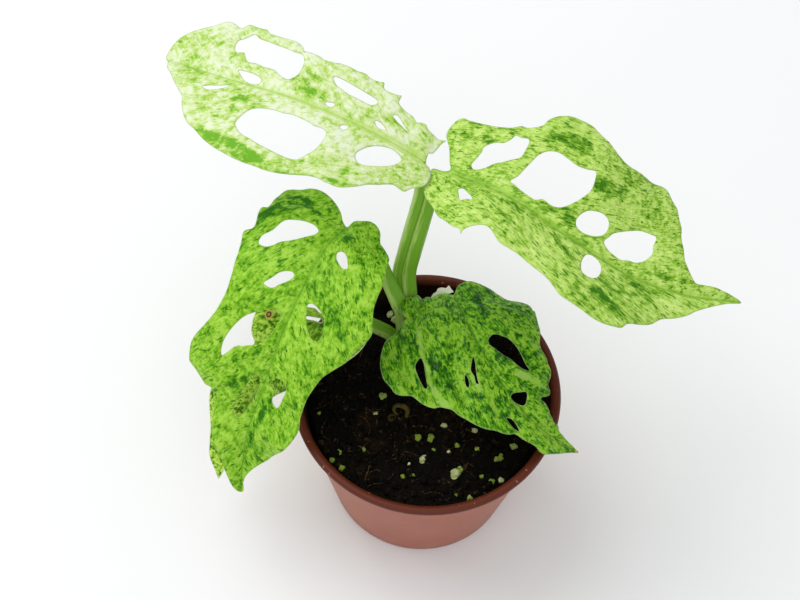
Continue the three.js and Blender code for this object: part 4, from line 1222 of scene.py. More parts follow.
class Stalk:
    """A green stalk with fine ribs and a shallow channel in front, closed at both ends."""

    SIDES = 40
    STEPS = 14
    FACING = np.array((0.0, -0.51, 0.86))
    TWIST = 0.02
    CHANNEL = 0.35
    FOOT_FADE = 14.0

    def __init__(self, shape: StalkShape, finish: bpy.types.Material, slot: str) -> None:
        """Keeps the form and the finish.

        Args:
            shape: the stalk's path and ribs.
            finish: its material.
            slot: the name of its material slot.
        """
        self.shape = shape
        self.finish = finish
        self.slot = slot

    def build(self) -> bpy.types.Object:
        """Makes the stalk.

        Returns:
            Its piece.
        """
        shape = self.shape
        path = spline(np.array([p[:3] for p in shape.path], float), self.STEPS)
        sizes = np.array([p[3:] for p in shape.path], float)
        share = np.linspace(0, len(shape.path) - 1, len(path))
        wide, deep = (np.interp(share, range(len(sizes)), sizes[:, k]) for k in (0, 1))
        along = unit(np.gradient(path, axis=0))
        across = unit(np.cross(along, self.FACING))
        out = np.cross(across, along)
        angle = np.linspace(0, 2 * math.pi, self.SIDES, endpoint=False)
        length = np.concatenate([[0], np.cumsum(np.linalg.norm(np.diff(path, axis=0), axis=1))])
        twist = self.TWIST * length[:, None]
        grow = 1 + shape.rib_height * np.cos(shape.ribs * angle[None] + 3 * twist)
        grow -= shape.groove * np.exp(-((angle[None] - math.pi / 2) / self.CHANNEL) ** 2)
        rings = (path[:, None] + across[:, None] * (wide[:, None] * grow * np.cos(angle))[..., None]
                 + out[:, None] * (deep[:, None] * grow * np.sin(angle))[..., None])
        vertices = np.vstack([rings.reshape(-1, 3), path[:1], path[-1:]])
        faces = []
        count = len(path)
        for k in range(count - 1):
            for s in range(self.SIDES):
                a, b = k * self.SIDES + s, k * self.SIDES + (s + 1) % self.SIDES
                faces += [(a, b, b + self.SIDES), (a, b + self.SIDES, a + self.SIDES)]
        start, end, top = count * self.SIDES, count * self.SIDES + 1, (count - 1) * self.SIDES
        for s in range(self.SIDES):
            after = (s + 1) % self.SIDES
            faces += [(start, after, s), (end, top + s, top + after)]
        u = np.append(np.repeat(length, self.SIDES), [0, length[-1]])
        v = np.append(np.tile(np.cos(angle) * 2, count), [0, 0])
        # Painted light and shade: light is 1 down the side that the finish paints paler and -1 down
        # the side opposite.
        light = np.append(np.tile(-np.cos(angle), count), [0, 0])
        foot = smooth(shape.foot_height, shape.foot_height - self.FOOT_FADE, vertices[:, 2])
        return Piece(shape.name, vertices, np.array(faces), self.finish, self.slot,
                     (shape.node,), {"flat": np.column_stack([u, v, 0 * u]), "light": light,
                                     "foot": foot}).place()


@dataclass
class Pot:
    """The thin moulded pot with its rolled rim and drainage holes."""

    height: float = 72.0
    rim_radius: float = 50.0
    foot_radius: float = 36.0
    wall: float = 1.2
    floor: float = 1.6
    rim_depth: float = 3.0
    lip: float = 2.6
    sides: int = 192
    drain_count: int = 6
    drain_radius: float = 3.0
    drain_circle: float = 24.0

    def inner(self, z: float) -> float:
        """The inside radius at a height.

        Args:
            z: the height.

        Returns:
            The radius.
        """
        rise = (z - self.floor) / (self.height - self.rim_depth - self.floor)
        foot = self.foot_radius - self.wall
        return foot + (self.rim_radius - self.lip - self.wall - foot) * rise

    def profile(self) -> np.ndarray:
        """The wall's closed section, up the outside and over the rim to the inner floor edge.

        Returns:
            Rows of (radius, height).
        """
        top = self.rim_radius - self.lip
        under = self.height - self.rim_depth
        outer = [(self.foot_radius - 1.4, 0.0), (self.foot_radius - 0.5, 0.25),
                 (self.foot_radius, 1.5)]
        outer += [(self.foot_radius + (top - self.foot_radius) * t, 1.5 + (under - 1.5) * t)
                  for t in np.linspace(0.04, 1, 24)]
        bead = [(self.rim_radius - 1.2, under + 0.05), (self.rim_radius - 0.25, under + 0.45)]
        middle, radius = under + 1.55, 1.45
        bead += [(self.rim_radius - radius + radius * math.cos(a),
                  middle + radius * math.sin(a))
                 for a in np.radians(np.arange(-20, 91, 10))]
        bead += [(self.rim_radius - 2.0, self.height), (top - 0.1, self.height - 0.35),
                 (self.inner(under) + 0.2, under + 1.4), (self.inner(under), under)]
        inside_wall = [(self.inner(z), z) for z in np.linspace(under - 2, self.floor + 1.5, 12)]
        foot = [(self.inner(self.floor) - 1.2, self.floor)]
        return np.array([*outer, *bead, *inside_wall, *foot])

    def floor_plate(self) -> tuple[np.ndarray, np.ndarray]:
        """The flat floor with its round drainage holes.

        Returns:
            The vertices and the triangles.
        """
        rim = np.radians(np.arange(0, 360, 7.5))
        radius = self.inner(self.floor) - 0.6
        outline = np.column_stack([radius * np.cos(rim), radius * np.sin(rim)])
        ring = np.column_stack([np.cos(rim[::3]), np.sin(rim[::3])]) * self.drain_radius
        angles = (np.arange(self.drain_count) + 0.5) * 2 * math.pi / self.drain_count
        holes = [ring + self.drain_circle * np.array([math.cos(a), math.sin(a)]) for a in angles]
        sheet = FlatSheet(outline, holes, 3.0, 1.0)
        low = np.column_stack([sheet.points, np.full(len(sheet.points), 0.05)])
        high = low + (0, 0, self.floor - 0.1)
        return sheet_solid(high, low, sheet.triangles, sheet.borders())

    def build(self, finish: bpy.types.Material) -> list[bpy.types.Object]:
        """Makes the wall and the floor.

        Args:
            finish: the pot's material.

        Returns:
            Their two pieces.
        """
        section = self.profile()
        angles = np.linspace(0, 2 * math.pi, self.sides, endpoint=False)
        rings = np.stack([np.column_stack([r * np.cos(angles), r * np.sin(angles),
                                           np.full(self.sides, z)]) for r, z in section])
        count = len(section)
        faces = []
        for k in range(count):
            low, high = k * self.sides, ((k + 1) % count) * self.sides
            for s in range(self.sides):
                after = (s + 1) % self.sides
                faces.append((low + s, low + after, high + after, high + s))
        first = next(k for k, p in enumerate(section) if p[0] < section[k - 1][0] - 0.8)
        share = np.repeat((np.arange(count) > first).astype(float), self.sides)
        wall = Piece("pot_wall", rings.reshape(-1, 3), np.array(faces), finish, "pot", ("pot",),
                     {"inner": share})
        vertices, triangles = self.floor_plate()
        base = Piece("pot_floor", vertices, triangles, finish, "pot",
                     measures={"inner": np.zeros(len(vertices))})
        return [wall.place(), base.place()]


def lump(random_source: random.Random, detail: int) -> tuple[np.ndarray, np.ndarray]:
    """An uneven rounded grain of radius about 1.

    Args:
        random_source: gives the unevenness.
        detail: subdivisions of the twenty-sided body that it starts from.

    Returns:
        The vertices and the triangles.
    """
    golden = (1 + 5 ** 0.5) / 2
    points = [unit(np.array(p)) for p in (
        (-1, golden, 0), (1, golden, 0), (-1, -golden, 0), (1, -golden, 0),
        (0, -1, golden), (0, 1, golden), (0, -1, -golden), (0, 1, -golden),
        (golden, 0, -1), (golden, 0, 1), (-golden, 0, -1), (-golden, 0, 1))]
    faces = [(0, 11, 5), (0, 5, 1), (0, 1, 7), (0, 7, 10), (0, 10, 11), (1, 5, 9), (5, 11, 4),
             (11, 10, 2), (10, 7, 6), (7, 1, 8), (3, 9, 4), (3, 4, 2), (3, 2, 6), (3, 6, 8),
             (3, 8, 9), (4, 9, 5), (2, 4, 11), (6, 2, 10), (8, 6, 7), (9, 8, 1)]
    for _ in range(detail):
        middles: dict[tuple[int, int], int] = {}

        def middle(a: int, b: int) -> int:
            """The point halfway along an edge, made once.

            Args:
                a: the edge's one end.
                b: its other end.

            Returns:
                The point's number.
            """
            key = (min(a, b), max(a, b))
            if key not in middles:
                points.append(unit(points[a] + points[b]))
                middles[key] = len(points) - 1
            return middles[key]

        finer = []
        for a, b, c in faces:
            ab, bc, ca = middle(a, b), middle(b, c), middle(c, a)
            finer += [(a, ab, ca), (ab, b, bc), (ca, bc, c), (ab, bc, ca)]
        faces = finer
    seed = random_source.uniform(0, 50)
    body = np.array(points)
    body = body * (1 + 0.55 * ripple(body, 0.8, seed))[:, None]
    body = body * [random_source.uniform(0.75, 1.25) for _ in range(3)]
    turn = np.array(Matrix.Rotation(random_source.uniform(0, 6.3), 3, Vector(
        [random_source.uniform(-1, 1) for _ in range(3)])))
    return body @ turn.T, np.array(faces)


class Soil:
    """Dark crumbly potting mix with grains, fibres and dry scraps on it.

    LEVEL is the height of its middle, EDGE that of its rim, and SEEN_LEVEL the mean height of
    the grains that the picture shows.
    """

    LEVEL = 62.0
    SEEN_LEVEL = 62.8
    EDGE = 59.8
    GRID = 0.75
    MOUND = 0.0004
    CRUMBS = 1500
    CRUMB_REACH = 0.975
    CRUMB_LEAST = 0.4
    CRUMB_SPREAD = 1.1
    CRUMB_SUNK = 0.75
    GRAIN_SUNK = 0.45
    FIBRES = 80
    FIBRE_STEP = 1.5
    FIBRE_REACH = 0.9

    def __init__(self, pot: Pot, finish: bpy.types.Material, fibre: bpy.types.Material) -> None:
        """Keeps the pot and the finishes.

        Args:
            pot: the pot that the mix fills.
            finish: the mix's material.
            fibre: the fibres' material.
        """
        self.pot = pot
        self.finish = finish
        self.fibre = fibre
        self.random = random.Random(11)
        self.radius = pot.inner(self.EDGE) - 0.3

    def level(self, flat: np.ndarray) -> np.ndarray:
        """Height of the crumbly top.

        Args:
            flat: rows of x and y.

        Returns:
            One height for each row.
        """
        far = np.hypot(flat[:, 0], flat[:, 1])
        rolling = 0.5 * np.sin(0.21 * flat[:, 0] + 1.3) * np.cos(0.17 * flat[:, 1])
        height = self.LEVEL + rolling - self.MOUND * far ** 2
        height += 0.8 * ripple(flat, 5.0, 3.0) + 0.7 * np.abs(ripple(flat, 2.6, 7.0))
        height += 0.45 * ripple(flat, 1.5, 9.0)
        return height

    def bed(self) -> bpy.types.Object:
        """Makes the fill itself, down to the pot's floor.

        Returns:
            Its piece.
        """
        turn = np.radians(np.arange(0, 360, 3.0))
        outline = np.column_stack([np.cos(turn), np.sin(turn)]) * self.radius
        sheet = FlatSheet(outline, [], self.GRID, 1.0)
        edge = smooth(0.0, 1.2, sheet.rim)
        top = self.EDGE + (self.level(sheet.points) - self.EDGE) * edge
        floor = self.pot.floor + 0.3
        shrink = (self.pot.inner(floor) - 1.7) / self.radius
        upper = np.column_stack([sheet.points, top])
        lower = np.column_stack([sheet.points * shrink, np.full(len(top), floor)])
        vertices, faces = sheet_solid(upper, lower, sheet.triangles, sheet.borders())
        chance = np.zeros(len(vertices))
        return Piece("soil_bed", vertices, faces, self.finish, "soil", ("soil",),
                     {"chance": chance}).place()

    def heap(self, name: str, spots: Iterable[tuple[float, float, float, float]], detail: int,
             finish: bpy.types.Material, sunk: float) -> bpy.types.Object:
        """Many loose grains as one piece.

        Args:
            name: the piece's name.
            spots: x, y, radius and colour number of each.
            detail: fineness of each grain.
            finish: the grains' material.
            sunk: share of its radius that each lies below the soil's top.

        Returns:
            The piece.
        """
        vertices, faces, chances, first = [], [], [], 0
        for x, y, radius, chance in spots:
            body, triangles = lump(self.random, detail)
            z = self.level(np.array([[x, y]]))[0] + radius * (1 - sunk)
            vertices.append(body * radius + (x, y, z))
            faces.append(triangles + first)
            chances.append(np.full(len(body), chance))
            first += len(body)
        return Piece(name, np.vstack(vertices), np.vstack(faces), finish, "soil",
                     measures={"chance": np.concatenate(chances)}).place()

    def seen(self, rows: Iterable[tuple[float, float, float, float]]
             ) -> list[tuple[float, float, float, float]]:
        """Turns picture places into places on the soil.

        Args:
            rows: the values of a Scrap each, in its order.

        Returns:
            The rows with x and y in place of the pixel.
        """
        return [(*VIEW.on_level(scrap.across, scrap.down, self.SEEN_LEVEL), scrap.radius,
                 scrap.number) for scrap in (Scrap(*row) for row in rows)]

    def crumbs(self) -> bpy.types.Object:
        """Scatters crumbs of the mix all over it.

        Returns:
            The crumbs' piece.
        """
        spots = []
        for _ in range(self.CRUMBS):
            far = self.radius * math.sqrt(self.random.random()) * self.CRUMB_REACH
            turn = self.random.uniform(0, 2 * math.pi)
            radius = self.CRUMB_LEAST + self.CRUMB_SPREAD * self.random.random() ** 3
            spots.append((far * math.cos(turn), far * math.sin(turn), radius,
                          self.random.random()))
        return self.heap("soil_crumbs", spots, 1, self.finish, self.CRUMB_SUNK)

    def fibres(self) -> bpy.types.Object:
        """Lays short bent fibres on the mix.

        Returns:
            The fibres' piece.
        """
        vertices, faces, first = [], [], 0
        for _ in range(self.FIBRES):
            far = self.radius * math.sqrt(self.random.random()) * self.FIBRE_REACH
            turn = self.random.uniform(0, 2 * math.pi)
            start = np.array([far * math.cos(turn), far * math.sin(turn)])
            heading = self.random.uniform(0, 2 * math.pi)
            bend = self.random.uniform(-0.5, 0.5)
            walk = [start]
            for _ in range(self.random.randint(3, 7)):
                heading += bend + self.random.uniform(-0.35, 0.35)
                walk.append(walk[-1] + self.FIBRE_STEP
                            * np.array([math.cos(heading), math.sin(heading)]))
            flat = np.array(walk)
            flat = flat[np.hypot(flat[:, 0], flat[:, 1]) < self.radius - 1.0]
            if len(flat) < 3:
                continue
            lift = self.random.uniform(0.3, 1.1)
            path = spline(np.column_stack([flat, self.level(flat) + lift]), 3)
            tube, triangles = tube_body(path, self.random.uniform(0.12, 0.3), 6)
            vertices.append(tube)
            faces.append(triangles + first)
            first += len(tube)
        return Piece("soil_fibres", np.vstack(vertices), np.vstack(faces), self.fibre, "soil",
                     measures={"chance": np.ones(first)}).place()

    def curls(self, name: str, places: Sequence[tuple[float, float, float, float]],
              finish: bpy.types.Material) -> bpy.types.Object:
        """Scraps curled into rings, as one piece.

        Args:
            name: the piece's name.
            places: x, y, ring radius and thickness of each.
            finish: their material.

        Returns:
            The piece.
        """
        vertices, faces, first = [], [], 0
        for x, y, radius, thick in places:
            turn = np.linspace(0.2, 5.9, 26) + self.random.uniform(0, 6)
            reach = radius * (1 + 0.18 * np.sin(2 * turn + x) + 0.1 * np.sin(3 * turn))
            flat = np.column_stack([x + reach * np.cos(turn), y + reach * np.sin(turn)])
            height = self.level(flat) + thick * (0.9 + 0.8 * np.sin(turn + y))
            tube, triangles = tube_body(np.column_stack([flat, height]), thick, 8)
            vertices.append(tube)
            faces.append(triangles + first)
            first += len(tube)
        return Piece(name, np.vstack(vertices), np.vstack(faces), finish, "soil",
                     measures={"chance": np.full(first, 0.15)}).place()


def tube_body(path: np.ndarray, radius: float, sides: int) -> tuple[np.ndarray, np.ndarray]:
    """A closed round tube, thinner at its ends.

    Args:
        path: points along its middle.
        radius: the largest radius.
        sides: faces round it.

    Returns:
        The vertices and the triangles.
    """
    along = unit(np.gradient(path, axis=0))
    across = unit(np.cross(along, (0.13, 0.21, 1.0)))
    out = np.cross(across, along)
    angle = np.linspace(0, 2 * math.pi, sides, endpoint=False)
    size = radius * (0.4 + 0.6 * np.sin(np.linspace(0, math.pi, len(path))))
    rings = (path[:, None] + across[:, None] * (size[:, None] * np.cos(angle))[..., None]
             + out[:, None] * (size[:, None] * np.sin(angle))[..., None])
    faces = []
    for k in range(len(path) - 1):
        for s in range(sides):
            a, b = k * sides + s, k * sides + (s + 1) % sides
            faces += [(a, b, b + sides), (a, b + sides, a + sides)]
    last = (len(path) - 1) * sides
    for s in range(1, sides - 1):
        faces += [(0, s + 1, s), (last, last + s, last + s + 1)]
    return rings.reshape(-1, 3), np.array(faces)


@dataclass(frozen=True)
class Lamp:
    """A large soft light: place in metres, width and strength in watts."""

    name: str
    place: Triple
    width: float
    power: float
    colour: Triple = (1.0, 1.0, 1.0)


@dataclass
class Studio:
    """The camera, the lights and the pale floor."""

    sensor: float = 36.0
    sky: float = 0.67
    sky_colour: Colour = (0.97, 0.99, 1.0, 1.0)
    floor_reach: float = 3.0
    lamps: tuple[Lamp, ...] = (Lamp("soft_window", (-0.6, 0.4, 1.15), 1.0, 8.8),
                               Lamp("soft_front", (0.0, -0.9, 1.0), 1.2, 3.0))

    def camera(self) -> None:
        """Sets the camera at the picture's viewpoint."""
        side, top, back = (Vector(axis) for axis in VIEW.axes())
        data = bpy.data.cameras.new("camera")
        data.sensor_width = self.sensor
        data.lens = VIEW.focal / VIEW.wide * self.sensor
        data.clip_start = 0.01
        camera = bpy.data.objects.new("camera", data)
        turn = Matrix((side, top, back)).transposed().to_4x4()
        camera.matrix_world = Matrix.Translation(Vector(VIEW.eye()) * MM) @ turn
        bpy.context.scene.collection.objects.link(camera)
        bpy.context.scene.camera = camera

    def lamp(self, lamp: Lamp) -> None:
        """Adds a square soft light that faces the plant.

        Args:
            lamp: its place, width, power and colour.
        """
        data = bpy.data.lights.new(lamp.name, "AREA")
        data.size = lamp.width
        data.energy = lamp.power
        data.color = lamp.colour
        light = bpy.data.objects.new(lamp.name, data)
        light.location = lamp.place
        aim = Vector(VIEW.target) * MM - light.location
        light.rotation_euler = aim.to_track_quat("-Z", "Y").to_euler()
        bpy.context.scene.collection.objects.link(light)

    def build(self, floor_finish: bpy.types.Material) -> None:
        """Makes the whole studio.

        Args:
            floor_finish: the floor's material.
        """
        scene = bpy.context.scene
        scene.view_settings.view_transform = "Standard"
        world = bpy.data.worlds.new("soft_room")
        world.use_nodes = True
        air = world.node_tree.nodes["Background"]
        air.inputs["Color"].default_value = self.sky_colour
        air.inputs["Strength"].default_value = self.sky
        scene.world = world
        self.camera()
        for lamp in self.lamps:
            self.lamp(lamp)
        mesh = bpy.data.meshes.new("floor")
        reach = self.floor_reach
        mesh.from_pydata([(-reach, -reach, 0), (reach, -reach, 0), (reach, reach, 0),
                          (-reach, reach, 0)], [], [(0, 1, 2, 3)])
        mesh.materials.append(floor_finish)
        floor = bpy.data.objects.new("floor", mesh)
        scene.collection.objects.link(floor)


LEAF_UPPER_LEFT = LeafShape(
    name="leaf_upper_left",
    mid=(
        (-5, 52, 142), (-25, 60, 148), (-50, 70, 150), (-76, 81, 146), (-101, 95, 138),
    ),
    fold_left=((0, 12), (1, 8)),
    fold_right=((0, 14), (1, 8)),
    curl=(0.6, 0.6),
    lean=(0.7, 1.3),
    seed=2.0,
    marks=(
        (97, 8, 8, 5, 0, -0.4),
    ),
    dabs=(
        (232, 148, 33, 17, 7, 2), (241, 99, 11, 0, 3.5, 1), (231, 110, 6, 0, 3, 1),
        (220, 118, 8, 0, 2, 1, -25), (204, 107, 5, 4, 4, 0.6), (190, 70, 11, 5, 4, 1),
        (191, 80, 9, 0, 2, 0.8), (194, 57, 6, 2, 2, 0.8), (180, 43, 2.5, 1, 1.5, 0.8),
        (237, 58, 9, 3, 4, 0.9), (225, 43, 9, 5, 5, 0.3), (206, 39, 5, 2, 1.5, 0.8),
        (300, 83, 9, 14, 6, 0.9), (318, 96, 6, 6, 4, 0.9), (330, 123, 10, 3, 4, 0.9),
        (426, 138, 8, 3, 5, 0.9), (421, 148, 6, 4, 4, 0.8), (341, 107, 4, 8, 3, 0.8),
        (350, 118, 3, 5, 2, 0.7), (390, 118, 8, 5, 5, 0.8, 15), (398, 127, 9, 6, 4, 0.8),
        (332, 181, 9, 4, 2.5, 0.8), (348, 171, 8, 3, 3, 0.6, -30), (336, 180, 6, 1, 1.5, 0.8),
        (353, 80, 5, 2, 3, 0.9), (412, 156, 7, 3, 3, 0.6), (337, 137, 5, 1, 1.5, 0.7),
        (380, 178, 4, 1, 1.2, 0.7), (293, 174, 16, 0, 1, 0.9), (312, 73, 4, 7, 3, 0.7),
        (305, 70, 3, 6, 2, 0.7),
    ),
    outline=(
        (0, 0), (0.8, 3.6), (-0.4, 4.4), (-1.6, 9.6), (-2.4, 11.1), (0.2, 10.2), (2, 10.4),
        (5.4, 11.2), (6.7, 12.2), (8.5, 12), (9.8, 11.3), (11.9, 12.6), (15.8, 13.2),
        (18.6, 14.7), (18.9, 17.6), (20.1, 17.2), (23.2, 16.9), (25.5, 17.5), (26.5, 19.7),
        (28.2, 19.1), (31.2, 18.8), (33.8, 19.7), (36.8, 19.5), (40, 19.9), (43.5, 19.8),
        (45.4, 19.2), (49.4, 18.8), (50.7, 19.4), (54.9, 20), (58.2, 20.2), (58.8, 21.4),
        (60.6, 22.8), (63.5, 23.9), (67.7, 24), (71.2, 24.1), (75.5, 24.5), (78.8, 26.2),
        (80.7, 26.5), (86.2, 26.5), (88.5, 26.3), (89.2, 25), (89.7, 23.6), (92.8, 24.1),
        (95.4, 24.8), (99.1, 23.8), (101.4, 21.3), (104.1, 18.7), (106.6, 15.9), (108.6, 13.1),
        (110, 10), (110.3, 6.2), (109.8, 2.5), (109.3, 0.6), (107.1, -1), (105, -3.8),
        (101.3, -6.1), (97.3, -9), (92, -12.4), (89.1, -14.4), (86.1, -18.5), (83, -22),
        (80.8, -23.7), (76.9, -25.5), (73.8, -27.4), (70.4, -29), (65.5, -30.6), (61.4, -31.6),
        (58.8, -32), (55.7, -32.2), (52.1, -32.2), (47.3, -32.6), (43.1, -32), (39.2, -30.7),
        (36.4, -29.5), (33.4, -28.3), (30, -27.7), (27.1, -28), (25.6, -27.8), (23.1, -27.6),
        (20.9, -26.8), (17, -24.1), (14, -21.2), (10.8, -19), (8.7, -17.5), (6.4, -16.3),
        (4, -16.4), (2.1, -16.3), (0.3, -13.7), (-0.7, -12.6), (-2.1, -11.4), (-3.1, -10),
        (-3.7, -7.6), (-3.5, -4), (-1.5, -1),
    ),
    holes=(
        (
            (82.7, 22.6), (83.4, 21.4), (84.5, 19.3), (86.3, 17.4), (86.3, 15.7), (84.2, 12.3),
            (82.5, 11.7), (80, 12.4), (78, 10.6), (75.8, 9), (72.9, 9.3), (68.6, 8.6), (64, 8.4),
            (61.3, 7.1), (58.5, 6.3), (57, 6.7), (55.2, 9.2), (55, 12.2), (55.4, 14.7),
            (56.6, 17.2), (58.2, 18.3), (61.3, 18.4), (65, 19), (70, 19.7), (74.1, 20.3),
            (78.5, 21), (81.5, 22.3),
        ),
        (
            (77.2, 4.6), (74.9, 4.9), (71.3, 4.8), (68.5, 4.2), (66.8, 3.2), (67, 1.6),
            (69.7, 0.8), (72.8, 1.3), (75.1, 2.8),
        ),
        (
            (85, -7.4), (82.5, -8), (79.2, -6), (76.8, -3.7), (76.2, -2.6), (78.2, -3.5),
            (81.2, -5), (83.4, -6.1),
        ),
        (
            (65.2, -18.6), (64.9, -15.4), (63.8, -12.1), (62.2, -10.3), (59.3, -9), (55.6, -8.2),
            (51.9, -8), (49.1, -7.3), (45.8, -7.5), (42.6, -7.8), (40.2, -8.5), (37.8, -8.3),
            (36, -8.6), (35, -10), (34.8, -14.1), (35.5, -17.9), (37.1, -20.8), (39.1, -24),
            (42, -24.9), (45.7, -24.9), (49.7, -24.5), (53.8, -23.9), (57.4, -22.9),
            (61.1, -22.1), (63.7, -20.4),
        ),
        (
            (22, -13.7), (22.6, -11.9), (21.7, -9.4), (20.2, -7), (17.9, -4.9), (15, -3.4),
            (12.3, -2.9), (10, -3.4), (8.2, -4.7), (8.5, -6.6), (9.8, -8.9), (12, -11.1),
            (14.9, -13.2), (18, -14.8), (20.2, -15.1),
        ),
        (
            (18.1, 9.1), (17.3, 9.9), (16.3, 9.8), (12.6, 7.6), (10.2, 6.1), (12.2, 6.8),
            (16, 7.9),
        ),
        ((22.6, 4.1), (21.3, 4.5), (18, 3), (19.6, 2.3), (21.6, 2.8),),
        ((41.3, 2.8), (40, 3.4), (38, 3.7), (38.2, 2.3), (40, 1.9),),
        ((32.4, -4.1), (31.4, -2.8), (29.9, -2.7), (30.1, -4.4), (31.6, -5.1),),
        (
            (43.1, 13.4), (41.9, 13.8), (38.5, 13.5), (34.4, 12.9), (30.5, 12.4), (27.1, 12),
            (25.3, 11.5), (25, 10.5), (26.3, 8.9), (29.4, 8.8), (32.6, 9), (35.1, 9.1),
            (38.8, 10.1), (41.2, 11.1),
        ),
    ),
)

